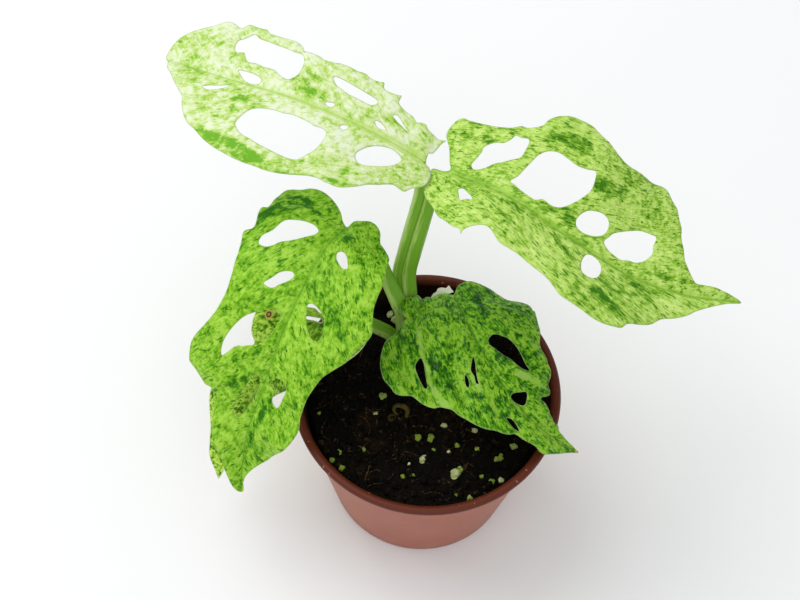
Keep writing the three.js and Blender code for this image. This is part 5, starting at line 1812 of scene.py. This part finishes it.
LEAF_UPPER_RIGHT = LeafShape(
    name="leaf_upper_right",
    mid=(
        (3, 50, 140), (24, 38, 144), (45, 25.5, 139.5), (66, 17.5, 130.5), (87, 14.5, 124),
        (106.5, 16.5, 118),
    ),
    fold_left=((0, 10), (0.5, 8), (1, 10)),
    fold_right=((0, 10), (0.25, 26), (0.6, 26), (0.8, 10), (1, 10)),
    curl=(0.5, 0.5),
    lean=(1.3, 1.6),
    seed=5.0,
    marks=(
        (31, -33, 6.5, 3.2, -22, 1.1), (24, -28, 2.5, 1.6, -60, 0.9),
    ),
    dabs=(
        (609, 190, 14, 6, 8, 1.1), (597, 181, 8, 5, 6, 1), (585, 187, 12, 4, 3, 0.8),
        (655, 205, 6, 5, 5, 0.35), (644, 215, 5, 3, 2.5, 0.9), (583, 198, 5, 2, 2, 0.9),
        (570, 222, 5, 5, 5, 1.1), (576, 240, 3, 5, 4, 1), (598, 275, 6, 6, 5, 1.1),
        (612, 287, 10, 5, 5, 1.1), (600, 296, 10, 8, 6, 0.9, 8), (633, 284, 8, 6, 3, 1.1),
        (630, 294, 6, 2, 3, 0.9), (645, 271, 6, 4, 2, 1), (664, 276, 10, 5, 3, 0.9),
        (654, 292, 14, 3, 3, 0.9), (582, 296, 8, 8, 2, 0.9), (690, 283, 10, 3, 3, 0.6),
        (475, 124, 5, 3, 3, 0.9), (510, 130, 6, 2, 2, 0.9), (523, 136, 6, 3, 2, 0.9),
        (545, 206, 14, 5, 4, 1), (517, 191, 6, 3, 3, 0.8), (512, 203, 12, 2, 2, 0.8),
        (555, 222, 8, 4, 2, 0.9), (556, 237, 3, 2, 1.5, 0.8), (437, 189, 6, 4, 3, 0.7),
        (465, 138, 3, 6, 3, 0.8), (488, 140, 4, 5, 3, 0.8),
    ),
    strokes=(
        (553, 236, 566, 252, 1.6, 1.2), (566, 250, 576, 264, 1.5, 1.1),
        (500, 213, 512, 221, 1.2, 0.9), (590, 285, 604, 300, 2.2, 1), (604, 300, 622, 318, 2, 1),
        (640, 292, 652, 303, 1.6, 1), (560, 205, 572, 213, 1.6, 0.8),
        (620, 172, 634, 190, 3, 0.7), (430, 180, 470, 210, 3.5, -0.3),
        (640, 230, 668, 270, 4, -0.4), (660, 180, 668, 215, 2, -0.3),
        (500, 195, 530, 225, 2, 0.4), (690, 270, 720, 290, 1.2, 0.5),
        (655, 300, 690, 312, 1.2, -0.4), (455, 125, 470, 160, 2.5, -0.2),
    ),
    flutter=0.35,
    outline=(
        (0, -1), (-1.7, -3.5), (-4.8, -8.4), (-9, -13.4), (-9.5, -16.7), (-8.9, -20.8),
        (-7.5, -22.5), (-5.1, -22.6), (-0.2, -23.2), (5.4, -24.6), (10.4, -26.3), (13.3, -28.6),
        (15.2, -28.7), (17.5, -30.5), (19.2, -32.8), (19.6, -36.2), (20.5, -38.3), (22.2, -40.5),
        (25, -43.2), (28, -44.4), (31.7, -45), (34.8, -44.1), (37.7, -43.5), (42.3, -43.2),
        (49.1, -42), (53, -40.8), (57.3, -40.7), (63.7, -41.8), (71, -42), (76.7, -42),
        (82.7, -42.7), (85.9, -41.8), (88.7, -38.3), (91.9, -34.6), (92.6, -30.8), (93.8, -26.5),
        (93.6, -22), (94.6, -17.6), (95.1, -13.3), (96.7, -10.1), (98.4, -7.4), (100, -5.3),
        (103.8, -5), (107.8, -4.7), (111.2, -3.6), (114.4, -2.2), (118.2, 0), (113.3, 1.1),
        (109, 2.3), (104.1, 3.9), (99, 6.3), (96, 8.7), (92.4, 10.8), (87, 13.7), (83.4, 18),
        (78.9, 21.5), (75, 24.6), (73.3, 27.6), (69.8, 29), (65, 29.7), (60, 28.8), (57, 28.5),
        (53.9, 28.2), (51.7, 26.7), (49.7, 25.1), (46.7, 24), (43.3, 23.4), (39.7, 22.6),
        (36.6, 22.8), (32.6, 23.2), (27.8, 20.5), (25.5, 20), (23.6, 21), (21.8, 23.3),
        (20.9, 25.6), (21.2, 27.8), (19.8, 25.7), (19.1, 25.2), (17, 24.8), (12.2, 22.3),
        (8.4, 20.6), (3.7, 17), (-0.3, 14.7), (-3.3, 11.3), (-4.5, 7.8), (-5, 4.8), (-5.9, 1.4),
        (-4.4, 0.6), (-2.1, 0.4),
    ),
    holes=(
        (
            (6, -5.7), (6.2, -9.2), (6.4, -12.2), (6, -14.3), (7.7, -16.8), (9.4, -17.9),
            (11.7, -18.6), (13.3, -21.2), (13.8, -23.4), (16, -23.3), (18.2, -24.2),
            (19.2, -22.7), (19.9, -18.8), (19.9, -15.5), (17.7, -13.2), (15.2, -10.9),
            (13.3, -9.6), (10.9, -6.5), (8.8, -4.7), (7.3, -4.5),
        ),
        (
            (21.7, -5.4), (22.9, -8.4), (23.3, -11.5), (23.9, -15.8), (24.5, -20), (26.2, -23.5),
            (28.7, -25.3), (32.6, -25.4), (36.9, -25.3), (40.6, -26.5), (43.8, -27.9),
            (45.6, -24.8), (46.6, -20.2), (45.5, -15.9), (43.4, -11.4), (42, -9), (39.8, -6.8),
            (37.2, -6), (34.1, -6), (32.2, -4.1), (29, -4), (25.9, -4.3), (23.8, -4.9),
        ),
        (
            (50.2, -12.7), (52.5, -14.2), (55.5, -15.3), (58.4, -14.8), (59.8, -13.2),
            (60.2, -11.2), (59.6, -8.6), (58.2, -6.9), (55.4, -5.2), (51.8, -4.4), (49.3, -5.2),
            (48.2, -7.1), (48.6, -10.1),
        ),
        (
            (60.9, -6.3), (61.9, -8.9), (63, -11.2), (65.3, -13.3), (69.4, -16.2), (73.6, -18.3),
            (78.3, -19), (81.3, -18.9), (81.5, -17.7), (80.7, -14.9), (80.9, -11.8),
            (79.6, -9.3), (77.8, -7.1), (75, -5.4), (72.2, -4.9), (69, -3.7), (65.7, -4),
            (62.8, -4.7),
        ),
        (
            (57, 3), (58.3, 1.5), (60.5, 0.9), (62.5, 2.6), (63.4, 4.8), (63.2, 8.5),
            (61.8, 11.8), (59.3, 13.3), (57.3, 12.7), (56.3, 9.5), (56.3, 6),
        ),
        (
            (8, 6.3), (9.1, 5.4), (11.4, 6.5), (14.5, 8.5), (15.3, 9.8), (13.4, 10.4),
            (12, 11.5), (9.7, 8.9),
        ),
    ),
)

LEAF_MIDDLE_LEFT = LeafShape(
    name="leaf_middle_left",
    mid=(
        (-32, 39, 119), (-40, 25, 122), (-50.5, 3, 112), (-60, -16, 88), (-65, -25, 72),
        (-67, -37, 52),
    ),
    fold_left=((0, 8), (1, 14)),
    fold_right=((0, 8), (1, 14)),
    curl=(0.9, 0.9),
    lean=(0.75, 0.9),
    seed=8.0,
    flutter=0.5,
    marks=(
        (33.5, -10.5, 10, 2.6, -53, 0.5), (59.5, 25.5, 3.3, 0.8, 40, 0.8),
        (58, 7, 3.3, 1.8, 39, 0.9), (74, 11.5, 2.8, 1.8, 27, 1),
    ),
    dabs=(
        (301, 201, 14, 5, 4, 1.1), (275, 212, 13, 7, 4, 1, 45), (254, 228, 12, 16, 3, 0.9, 5),
        (222, 310, 8, 2, 3, 0.9, 45), (240, 357, 6, 3, 3, 0.9, 34), (247, 378, 6, 6, 4, 0.9, 34),
        (268, 372, 3, 6, 2, 0.8), (294, 333, 2, 8, 2, 0.8), (282, 360, 2, 10, 2.5, 0.8, -37),
        (262, 416, 5, 14, 3, 1.2, -10), (271, 405, 4, 8, 3, 0.9, -22),
        (295, 405, 3, 6, 2.5, 0.9), (307, 400, 2, 6, 2, 0.8), (318, 395, 3, 7, 3, 0.9),
        (335, 383, 4, 6, 3, 0.9), (344, 372, 2, 5, 2, 0.8), (310, 390, 2, 5, 2, 0.8),
        (293, 395, 2, 5, 2, 0.8), (255, 445, 3, 10, 3, 0.9, -20), (244, 397, 4, 5, 3, 0.8),
        (245, 262, 5, 5, 3, 0.8, 40), (360, 262, 4, 5, 3, 0.8, -60),
    ),
    strokes=(
        (268, 213, 281, 206, 1.2, 1.1), (281, 204, 303, 205, 1.3, 1.2),
        (303, 206, 322, 217, 1.3, 1.1), (278, 201, 300, 198, 0.9, 1),
        (300, 199, 316, 206, 0.9, 1), (262, 222, 272, 212, 1.1, 1), (342, 231, 353, 248, 2, 1.1),
        (330, 262, 326, 285, 1.4, 0.6), (378, 240, 382, 262, 1.2, 0.9),
        (352, 290, 345, 335, 6, 0.4), (240, 400, 225, 440, 4, -0.5),
        (292, 215, 318, 230, 1.4, -0.5), (232, 300, 215, 335, 3, -0.3),
        (350, 350, 330, 365, 2, 0.6), (258, 420, 248, 450, 1.1, 1),
        (215, 320, 240, 322, 1.4, 0.4),
    ),
    outline=(
        (0, 0), (-0.6, 2), (-3.7, 5.2), (-6.3, 9), (-8.2, 13.2), (-9, 17.8), (-8, 21.2),
        (-5.6, 23.6), (-4.1, 26.7), (-2.5, 28.6), (1.5, 28.9), (4.6, 28.6), (8.5, 27.7),
        (9.7, 27.8), (10.2, 29.8), (12.6, 29.7), (16, 28.2), (17.7, 27.6), (19, 28), (20.2, 30),
        (21.4, 30.5), (24.1, 29.4), (28.6, 28), (32.8, 27.3), (36.7, 26.5), (41.4, 25.8),
        (45.8, 25.7), (50.4, 26.2), (54.8, 27.2), (59, 28.9), (64.4, 31.3), (68.4, 32.2),
        (71.9, 31.7), (76.1, 30.3), (78.3, 27.2), (81, 23.9), (82.2, 21.5), (81.7, 18.8),
        (82.8, 17.4), (84.3, 16), (88.7, 14.4), (93.4, 13), (96.3, 12.1), (99.5, 10.8),
        (102.9, 8.2), (107.5, 6.5), (112, 4.8), (115.7, 2.8), (117.8, 0), (117, -1),
        (113.4, -0.7), (110.5, -1.4), (107, -3.4), (103.6, -6.2), (99.2, -10), (91.9, -14),
        (86.3, -16.9), (81.3, -18.3), (77.9, -18.6), (74.6, -17.5), (71.9, -17.3), (65.7, -17.3),
        (61.1, -18.2), (55.7, -19.8), (52.6, -21.8), (47.3, -25.4), (44.5, -26.2), (41.1, -27.4),
        (37.5, -29.1), (34.8, -29.4), (32.3, -28.3), (29.3, -27.1), (26.3, -26), (21.5, -25.3),
        (17.5, -25), (10.7, -23.3), (6, -21.5), (3.3, -20.4), (1.6, -18), (0.3, -15.2),
        (-0.1, -14.2), (-4.1, -11.4), (-6, -8.5), (-6.2, -5.5), (-4.8, -2.9), (-3.5, -0.7),
        (-1.8, -0.4),
    ),
    holes=(
        (
            (22.8, 22.5), (20.2, 22.9), (16.9, 20.4), (12.1, 18.5), (9.9, 14.4), (8.8, 10.6),
            (8.7, 7.8), (9.8, 5.9), (11.6, 6), (14.6, 8.6), (17.3, 11.9), (19.5, 15.4),
            (21.6, 17.3), (23, 19.4),
        ),
        (
            (35, 13.3), (32.1, 11.6), (29.1, 9.8), (27.7, 7.8), (27.2, 5.8), (28, 4.7),
            (30.1, 5.4), (32.8, 7.8), (35.2, 9.9), (35.3, 12.1),
        ),
        (
            (15.7, -5.6), (13.7, -4.9), (12.5, -5.9), (13, -7.8), (15.2, -9.8), (17.7, -11.1),
            (18.4, -9.9), (17.3, -7.4),
        ),
        (
            (66, 18.3), (61.7, 19.4), (55.2, 18.2), (49, 15.4), (44.7, 10.9), (41.4, 4.9),
            (42.4, 2.6), (45.3, 2.8), (51.8, 4.4), (55.9, 6.9), (57.9, 10.4), (60.3, 13.8),
            (63.1, 16.1),
        ),
        (
            (35.2, -4.5), (34.3, -5.7), (34.7, -8.1), (36.9, -11.8), (40.1, -13.3),
            (43.4, -13.9), (45.1, -12.9), (45, -10.9), (43.2, -8.7), (40.7, -6.7), (37.8, -5.4),
        ),
        (
            (67.7, 4.7), (66.7, 2.6), (68.2, 1.6), (72.5, 1.5), (75.5, 1.3), (80.7, 2.6),
            (86.8, 5), (86.6, 6.5), (82, 7.8), (77.3, 7.2), (71.7, 5.9),
        ),
        (
            (64.2, -4.5), (64.6, -7.4), (66.6, -8.9), (70, -8.8), (73.6, -8.5), (74.6, -7.8),
            (73.7, -5.7), (71.8, -4.9), (69.2, -4.8), (68.3, -1.9), (66.3, -1.7),
        ),
    ),
)

LEAF_LOWER_LEFT = LeafShape(
    name="leaf_lower_left",
    mid=(
        (-34.5, 22, 90), (-49, 8, 86), (-66.5, -7, 64), (-78.5, -22, 32),
    ),
    fold_left=((0, 6), (1, 6)),
    fold_right=((0, 6), (1, 6)),
    curl=(0.5, 0.5),
    lean=(0.75, 0.9),
    seed=12.0,
    outline=(
        (0, 0), (-2, 3), (0, 6), (3, 9), (8, 14), (14, 18.5), (19, 20.8), (24.3, 20.9),
        (28.5, 19), (31.2, 16.9), (33, 12.8), (36, 14), (39, 17.5), (43, 19.5), (52, 18.5),
        (61.6, 15.5), (68.8, 11.2), (78.2, 8.7), (84, 6.5), (88.4, 2.1), (91.5, -0.5), (84, -2),
        (74, -4), (62, -5.5), (50, -6), (41, -7.2), (35, -10), (31, -12), (25, -15), (15, -18.5),
        (5, -19), (-2, -16), (-5, -11), (-5, -6), (-2, -2),
    ),
    holes=(
        ((7.2, 0.2), (9, 2.8), (11, 5), (11.6, 4.4), (9.8, 1.8), (8.2, -0.4),),
        ((6.1, 2.5), (6.4, 5.4), (8.2, 7.9), (7, 9), (4.6, 7.6), (4, 4.5), (4.6, 2),),
    ),
)

LEAF_FRONT = LeafShape(
    name="leaf_front",
    mid=(
        (8, 31, 89), (13, 17, 93), (20, 4, 92.5), (29, -9, 89), (40.5, -18.5, 82.5),
        (54.5, -23, 73),
    ),
    fold_left=((0, -4), (1, 4)),
    fold_right=((0, 10), (1, 14)),
    curl=(0.9, 0.8),
    lean=(0.9, 1.2),
    seed=15.0,
    creases=(
        (((9, 17), (13, 16.5), (20, 21), (26, 22), (31, 20), (40, 19)), 3.0, 1.1),
        (((13, 27), (20, 30), (28, 28), (34, 25)), -2.8, 4.2),
        (((-2, 11.5), (3, 14), (8, 18)), -1.8, 1.1),
        (((0, 17), (4, 18.5)), 0.9, 2.2),
        (((30, -3), (36.5, -6), (44, -9), (51.5, -14)), 2.0, 1.2),
        (((10, -8), (20, -10), (28, -16), (38, -17.5)), 0.8, 2.0),
        (((14, 6), (24, 9), (34, 15), (42, 17)), -1.3, 2.2),
        (((20, 4), (30, 7.5), (40, 9), (48, 12)), 1.0, 1.4),
    ),
    quilt=0.6,
    # Strokes of depth -1.2 and below paint a highlight along the fold crests and ridges; the darker
    # strokes beside the main crest, from (428, 350) and from (436, 362), paint its shade.
    strokes=(
        (418, 329, 420, 343, 0.7, -1.6), (420, 343, 424, 362, 0.7, -1.6),
        (424, 362, 431, 381, 0.8, -1.7), (431, 381, 440, 400, 0.9, -1.7),
        (440, 400, 452, 410, 1.2, -1.7), (436, 362, 452, 393, 2.2, 0.8),
        (428, 350, 436, 380, 1.2, 0.7), (400, 362, 404, 384, 4, -0.5),
        (385, 373, 391, 391, 1.2, 0.9), (410, 333, 402, 345, 1.2, 0.7),
        (514, 373, 528, 378, 1, -1.8), (528, 378, 545, 389, 1, -1.5),
        (528, 410, 565, 446, 5, -0.6), (470, 368, 476, 385, 0.8, -2),
        (476, 376, 480, 393, 0.8, -2), (490, 398, 498, 420, 0.8, -1.2),
        (515, 405, 524, 416, 0.8, -1.3), (470, 400, 478, 415, 1.2, 0.6),
        (500, 385, 520, 393, 1.6, 0.5), (520, 350, 538, 372, 2, 0.3),
        (445, 300, 455, 315, 1.6, 0.8), (476, 300, 486, 320, 1.6, 0.7),
        (500, 300, 530, 320, 1.4, 0.7), (432, 300, 437, 340, 1.5, 0.3),
        (430, 410, 446, 412, 0.8, -1.6), (403, 298, 412, 300, 0.8, -1.2),
        (404, 322, 414, 318, 0.7, -1.2), (455, 330, 470, 345, 2, -0.4),
    ),
    outline=(
        (0, 0), (-1, 2.5), (-1.2, 5.5), (-0.3, 8.5), (-2, 11.6), (-2.9, 13.2), (-2.3, 14.7),
        (-2.9, 16.7), (-2.2, 18.8), (-0.4, 20.4), (1.5, 21.1), (4.5, 21.4), (6.7, 20.7),
        (7.6, 20.2), (8.5, 21.9), (9.7, 22.6), (10, 24.5), (10.9, 27), (11.6, 29.2),
        (12.9, 31.3), (15.1, 33.7), (16.5, 34.9), (18.5, 36.1), (20.5, 36.8), (22.8, 37.3),
        (24.2, 37), (26, 36.5), (28, 36.3), (29.5, 34.9), (30.7, 32.9), (31.6, 31.5),
        (33.3, 30.7), (35.2, 30), (37, 28.8), (38.4, 27.3), (38.9, 26.1), (39.1, 25),
        (40.3, 23.3), (41.5, 21.8), (43.6, 20.9), (45.6, 19.5), (46.9, 18.8), (49.1, 17.6),
        (51, 16.2), (53.1, 13.9), (54.9, 12.7), (56.8, 10.7), (57.4, 9.5), (59.1, 9),
        (60.4, 8.9), (62.1, 8.4), (63.4, 8), (65, 8), (66.3, 8.8), (67.8, 9), (70, 7.6),
        (73.1, 5.6), (76.7, 3.2), (80.2, 0.9), (82.3, -0.6), (80.6, -0.9), (78.2, -1.4),
        (75.7, -2), (73.2, -2.7), (71.2, -3.3), (70.2, -4.9), (68, -5.2), (66.5, -6.2),
        (64.4, -6.7), (61.3, -8), (58.9, -8.5), (56.6, -8.3), (56.6, -9.3), (58, -10.9),
        (58.8, -12.4), (58.1, -13.6), (55.9, -14.5), (54.5, -14.9), (53.6, -16.7), (51.9, -18.6),
        (50, -19.7), (45.8, -20.6), (43.4, -21.3), (39.4, -21.7), (36.8, -21.8), (34.4, -22.4),
        (32.2, -23.7), (29.6, -25.4), (25.8, -26.8), (21, -28.3), (13.5, -29.1), (8.3, -29.3),
        (6.7, -28.6), (5.9, -26.8), (5.4, -23.4), (4.9, -20.4), (2.4, -17.6), (-0.2, -15.2),
        (-2.6, -12.7), (-4.3, -10.4), (-5.2, -8.2), (-4.6, -4.5), (-3, -2.4), (-1.5, -1.4),
    ),
    holes=(
        (
            (25.8, -3.8), (24.3, -6), (24.2, -7.1), (25.1, -8.7), (26.3, -9.8), (27.1, -10.7),
            (28.7, -11.6), (30.9, -12.3), (33.3, -12.7), (36.5, -12.6), (39.4, -12.3),
            (41.9, -12.2), (43.9, -12.2), (42.6, -10.8), (40.2, -9.4), (38.2, -8.7),
            (35.3, -7.6), (33.9, -5.8), (31.4, -4.5), (28.8, -3.8),
        ),
        (
            (23.7, 25.1), (22.8, 23.9), (22.8, 22.8), (23.5, 22.1), (25, 22.3), (27.2, 23.1),
            (29, 23.9), (31, 24.7), (31.5, 25.5), (30.4, 25.9), (28.6, 25.9), (26.3, 25.7),
        ),
        (
            (48.1, 0.2), (47.6, -0.9), (48, -2.2), (49.2, -4.1), (50.1, -5.4), (51.1, -5.3),
            (52.3, -4.1), (53.5, -2.3), (53.4, -1.3), (52.2, -0.5), (50.6, 0.1), (49.2, 0.5),
        ),
        ((52.4, 7.4), (53.6, 6.2), (56, 6.2), (57.6, 6.9), (58.2, 7.4), (56.4, 8), (54.1, 7.9),),
        (
            (29.3, 4.6), (31.4, 5.1), (34, 6.3), (36.6, 7.5), (38.9, 8.5), (38.4, 9.1),
            (35.7, 8.3), (33.7, 8.4), (31.6, 6.9),
        ),
        ((33.9, 10.6), (35, 10.5), (36.9, 11), (38.3, 12.2), (37.3, 12.5), (35.3, 11.7),),
    ),
)

SHEATH_FRONT = LeafShape(
    name="sheath_front",
    mid=((-0.4, 31.4, 85.6), (3.4, 32.4, 87), (8, 33.4, 88)),
    fold_left=((0, 10), (1, 6)),
    fold_right=((0, 4), (1, 4)),
    curl=(2, 2),
    lean=(0, 0),
    seed=21.0,
    outline=(
        (0, 0.4), (1.4, -0.9), (2.6, -1.1), (3.6, -2.1), (5.2, -2), (6.4, -1.5), (7.7, -2.2),
        (8.3, -0.8), (8.9, 0.6), (6.8, 1), (4.4, 1.3), (1.8, 1.1),
    ),
    holes=(),
    quilt=0.1,
    swell=0.1,
    flutter=0.15,
    spacing=0.3,
    thickness=0.25,
    keel=0.0,
)

STEM = StalkShape("stem_skin", "stem", (
    (-7.3, 23.3, 46, 4.8, 4.8), (-7.3, 23.3, 62, 4.8, 4.8), (-8.2, 26.5, 72, 4.6, 4.6),
    (-9.7, 31.6, 84, 4.5, 4.2),
))
PETIOLES = (
    StalkShape("stalk_upper_left", "petiole_upper_left", (
        (-12.2, 31.8, 84.6, 2.1, 2.3), (-13.1, 36.4, 93, 2.1, 2.3),
        (-11.5, 39.6, 103, 2.1, 2.3), (-9.8, 42.6, 112, 2.1, 2.2),
        (-7.95, 45.8, 121, 2.1, 2.1), (-6.6, 48.9, 130, 2, 2), (-7, 52.8, 141.8, 1.6, 1.7),
    )),
    StalkShape("stalk_upper_right", "petiole_upper_right", (
        (-8.2, 31.8, 84.6, 2.8, 2.6), (-9.1, 36.4, 93, 2.8, 2.6), (-7.6, 39.6, 103, 2.8, 2.6),
        (-5.85, 42.6, 112, 2.8, 2.5), (-3.95, 45.8, 121, 2.7, 2.4),
        (-2, 48.7, 130, 2.5, 2.2), (4.83, 48.95, 139.6, 1.7, 1.7),
    )),
    StalkShape("stalk_middle_left", "petiole_middle_left", (
        (-8.9, 24.8, 73, 2.7, 2.2), (-9.8, 25.7, 80, 2.9, 2.2), (-12.4, 26.9, 87.5, 2.9, 2.1),
        (-17.1, 33, 95.5, 2.7, 2), (-21.7, 37.7, 103, 2.3, 1.9), (-33.1, 37.1, 118.7, 1.7, 1.7),
    )),
    StalkShape("stalk_lower_left", "petiole_lower_left", (
        (-9.3, 23.6, 65.5, 2.6, 2.2), (-12.8, 22.4, 69, 2.7, 2.2), (-16.6, 21.8, 74.5, 2.7, 2.1),
        (-20.9, 21.6, 78.5, 2.6, 2), (-28.1, 21.7, 85, 2.1, 1.8), (-35.9, 20.7, 88.9, 1.5, 1.5),
    )),
    StalkShape("stalk_front", "petiole_front", (
        (-5.5, 25, 69, 2.2, 2), (-2, 25.4, 74, 2.1, 2), (2.5, 27, 80, 1.9, 1.9),
        (8.7, 29, 88.8, 1.6, 1.6),
    )),
)

# Grains on the soil, as values of a Scrap whose number says how green it is, from 0 to 1.
GRAINS = (
    (383, 396, 1.3, 0.4), (376, 413, 1, 0.2), (444, 425, 1, 0.1), (474, 430, 1.3, 0.2),
    (431, 437, 1.6, 0.8), (418, 437, 1.2, 0.7), (457, 445, 1.1, 0.9), (477, 449, 1.2, 0.5),
    (514, 446, 1.3, 0.4), (501, 456, 1.1, 0.7), (497, 458, 1.1, 0.5), (449, 452, 0.7, 0),
    (434, 449, 0.9, 0.8), (364, 449, 0.9, 0.8), (339, 451, 0.9, 0.8), (319, 412, 0.8, 0.7),
    (332, 459, 1, 0.9), (342, 468, 1.2, 1), (409, 463, 0.6, 0), (413, 475, 0.9, 0.8),
    (403, 476, 0.8, 0.7), (482, 476, 0.9, 0.7), (492, 481, 0.9, 0.8), (457, 493, 0.9, 0.8),
    (423, 458, 1.3, 0.1), (455, 473, 1.6, 0.2), (460, 470, 1.1, 0.8), (501, 479, 1.2, 0.2),
    (470, 497, 1.1, 0.4), (390, 314, 1.5, 0), (395, 318, 1.3, 0.1), (404, 323, 1.1, 0.1),
)

# Curls on the soil, as values of a Scrap whose number is the thickness in millimetres.
BROWN_CURLS = ((401, 412, 2.5, 1.0), (392, 417.5, 1.2, 0.5))
PALE_CURLS = ((423, 458, 1.3, 0.35), (455, 473, 1.6, 0.4), (458, 469, 1.1, 0.35))


class LeafTone(Enum):
    """The finish of each blade."""

    CREAM = LeafFinish(
        "cream_tissue", "leaf_cream", pale=tint(222, 231, 200), light=tint(204, 222, 156),
        lush=tint(172, 206, 96), deep=tint(106, 170, 34), edge=tint(166, 196, 104),
        rib_colour=tint(190, 216, 118), seed=3.0, fine=0.55, mottle=0.7, drift=0.5,
        mosaic=0.12, shade=-0.015, dashes=0.35, rib=2.2, taper=0.024, rib_share=0.7)
    FRESH = LeafFinish(
        "fresh_tissue", "leaf_lime", pale=tint(198, 224, 124), light=tint(170, 207, 88),
        lush=tint(122, 170, 44), deep=tint(54, 114, 6), edge=tint(172, 204, 112),
        rib_colour=tint(148, 194, 66), seed=11.0, fine=0.72, mottle=0.62, drift=0.3,
        mosaic=0.1, dashes=0.85, reach=0.01, fleck_grid=(0.55, 0.95), dash_grid=(0.5, 0.62),
        rib=2.0, taper=0.014, rib_share=0.7)
    LIME = LeafFinish(
        "lime_tissue", "leaf_lime", pale=tint(164, 209, 72), light=tint(136, 190, 44),
        lush=tint(100, 160, 20), deep=tint(42, 106, 2), edge=tint(162, 200, 96),
        rib_colour=tint(132, 186, 50), seed=17.0, fine=0.78, mottle=0.72, drift=0.3,
        mosaic=0.1, dashes=0.85, reach=0.012, rib=1.3, taper=0.01)
    NETTED = LeafFinish(
        "netted_tissue", "leaf_green", pale=tint(192, 222, 92), light=tint(156, 200, 56),
        lush=tint(104, 158, 18), deep=tint(44, 94, 2), edge=tint(214, 228, 186),
        rib_colour=tint(150, 190, 70), seed=29.0, fine=1.1, mottle=0.9, drift=0.4,
        mosaic=0.35, edge_share=0.8, rib=1.0, spot=(20.5, 15.5, 1.3), dead=tint(70, 36, 10),
        withered=tint(196, 178, 80))
    # The green blade's edge colour is also the colour of its painted sheen and of the painted
    # highlight along its crests.
    GREEN = LeafFinish(
        "green_tissue", "leaf_green", pale=tint(140, 186, 50), light=tint(94, 156, 12),
        lush=tint(58, 122, 2), deep=tint(20, 72, 0), edge=tint(156, 186, 112),
        rib_colour=tint(104, 156, 40), seed=23.0, fine=1.2, mottle=1.15, drift=0.4,
        mosaic=0.2, dashes=0.7, painted_sheen=0.4, fleck_grid=(0.6, 1.15), dash_grid=(0.5, 0.8),
        edge_share=0.5, rib=0.8, roughness=0.42, gloss=0.14, bumps=0.8,
        spot=(83.4, -0.7, 1.9), dead=tint(196, 108, 30))


LEAVES = (
    (LEAF_UPPER_LEFT, LeafTone.CREAM), (LEAF_UPPER_RIGHT, LeafTone.FRESH),
    (LEAF_MIDDLE_LEFT, LeafTone.LIME), (LEAF_LOWER_LEFT, LeafTone.NETTED),
    (LEAF_FRONT, LeafTone.GREEN),
)


def main() -> None:
    """Builds the plant, its pot and the studio round them."""
    logging.basicConfig(level=logging.INFO, format="%(message)s")
    plastic = PlasticFinish(
        "pot_plastic", wall=tint(156, 78, 54), rim=tint(92, 36, 17), dust=tint(176, 120, 96),
        inner_brown=tint(38, 22, 14), rim_height=69.5).build()
    mix = SoilFinish("potting_mix", dark=tint(7, 5, 2), brown=tint(34, 21, 9),
                     light=tint(70, 54, 30)).build()
    straw = SoilFinish("dry_fibre", dark=tint(26, 17, 8), brown=tint(56, 38, 20),
                       light=tint(96, 74, 44)).build()
    grit = GrainFinish("pale_grain", pale=tint(214, 218, 164), green=tint(132, 156, 52),
                       stain=tint(84, 98, 22)).build()
    paper = PaperFinish("dry_sheath", pale=tint(236, 236, 222), worn=tint(200, 200, 170)).build()
    stalk = StalkFinish("stalk_skin", pale=tint(176, 208, 108), green=tint(118, 172, 40),
                        deep=tint(52, 112, 14), seed=2.0, deep_foot=0.3).build()
    floor = FloorFinish("pale_floor", tint(245, 246, 246), tint(242, 243, 243)).build()
    Studio().build(floor)
    pot = Pot()
    pot.build(plastic)
    soil = Soil(pot, mix, straw)
    soil.bed()
    soil.crumbs()
    soil.fibres()
    soil.heap("soil_grains", soil.seen(GRAINS), 2, grit, soil.GRAIN_SUNK)
    husk = SoilFinish("dry_husk", dark=tint(58, 48, 18), brown=tint(96, 82, 36),
                      light=tint(142, 126, 66)).build()
    soil.curls("soil_husks", soil.seen(BROWN_CURLS), husk)
    soil.curls("soil_rings", soil.seen(PALE_CURLS), grit)
    Stalk(STEM, stalk, "stem").build()
    for shape in PETIOLES:
        Stalk(shape, stalk, "petiole").build()
    skins = {tone: tone.value.build() for tone in LeafTone}
    for shape, tone in LEAVES:
        Leaf(shape, skins[tone], tone.value.slot).build()
    Leaf(SHEATH_FRONT, paper, "sheath").build()


if __name__ == "__main__":
    main()
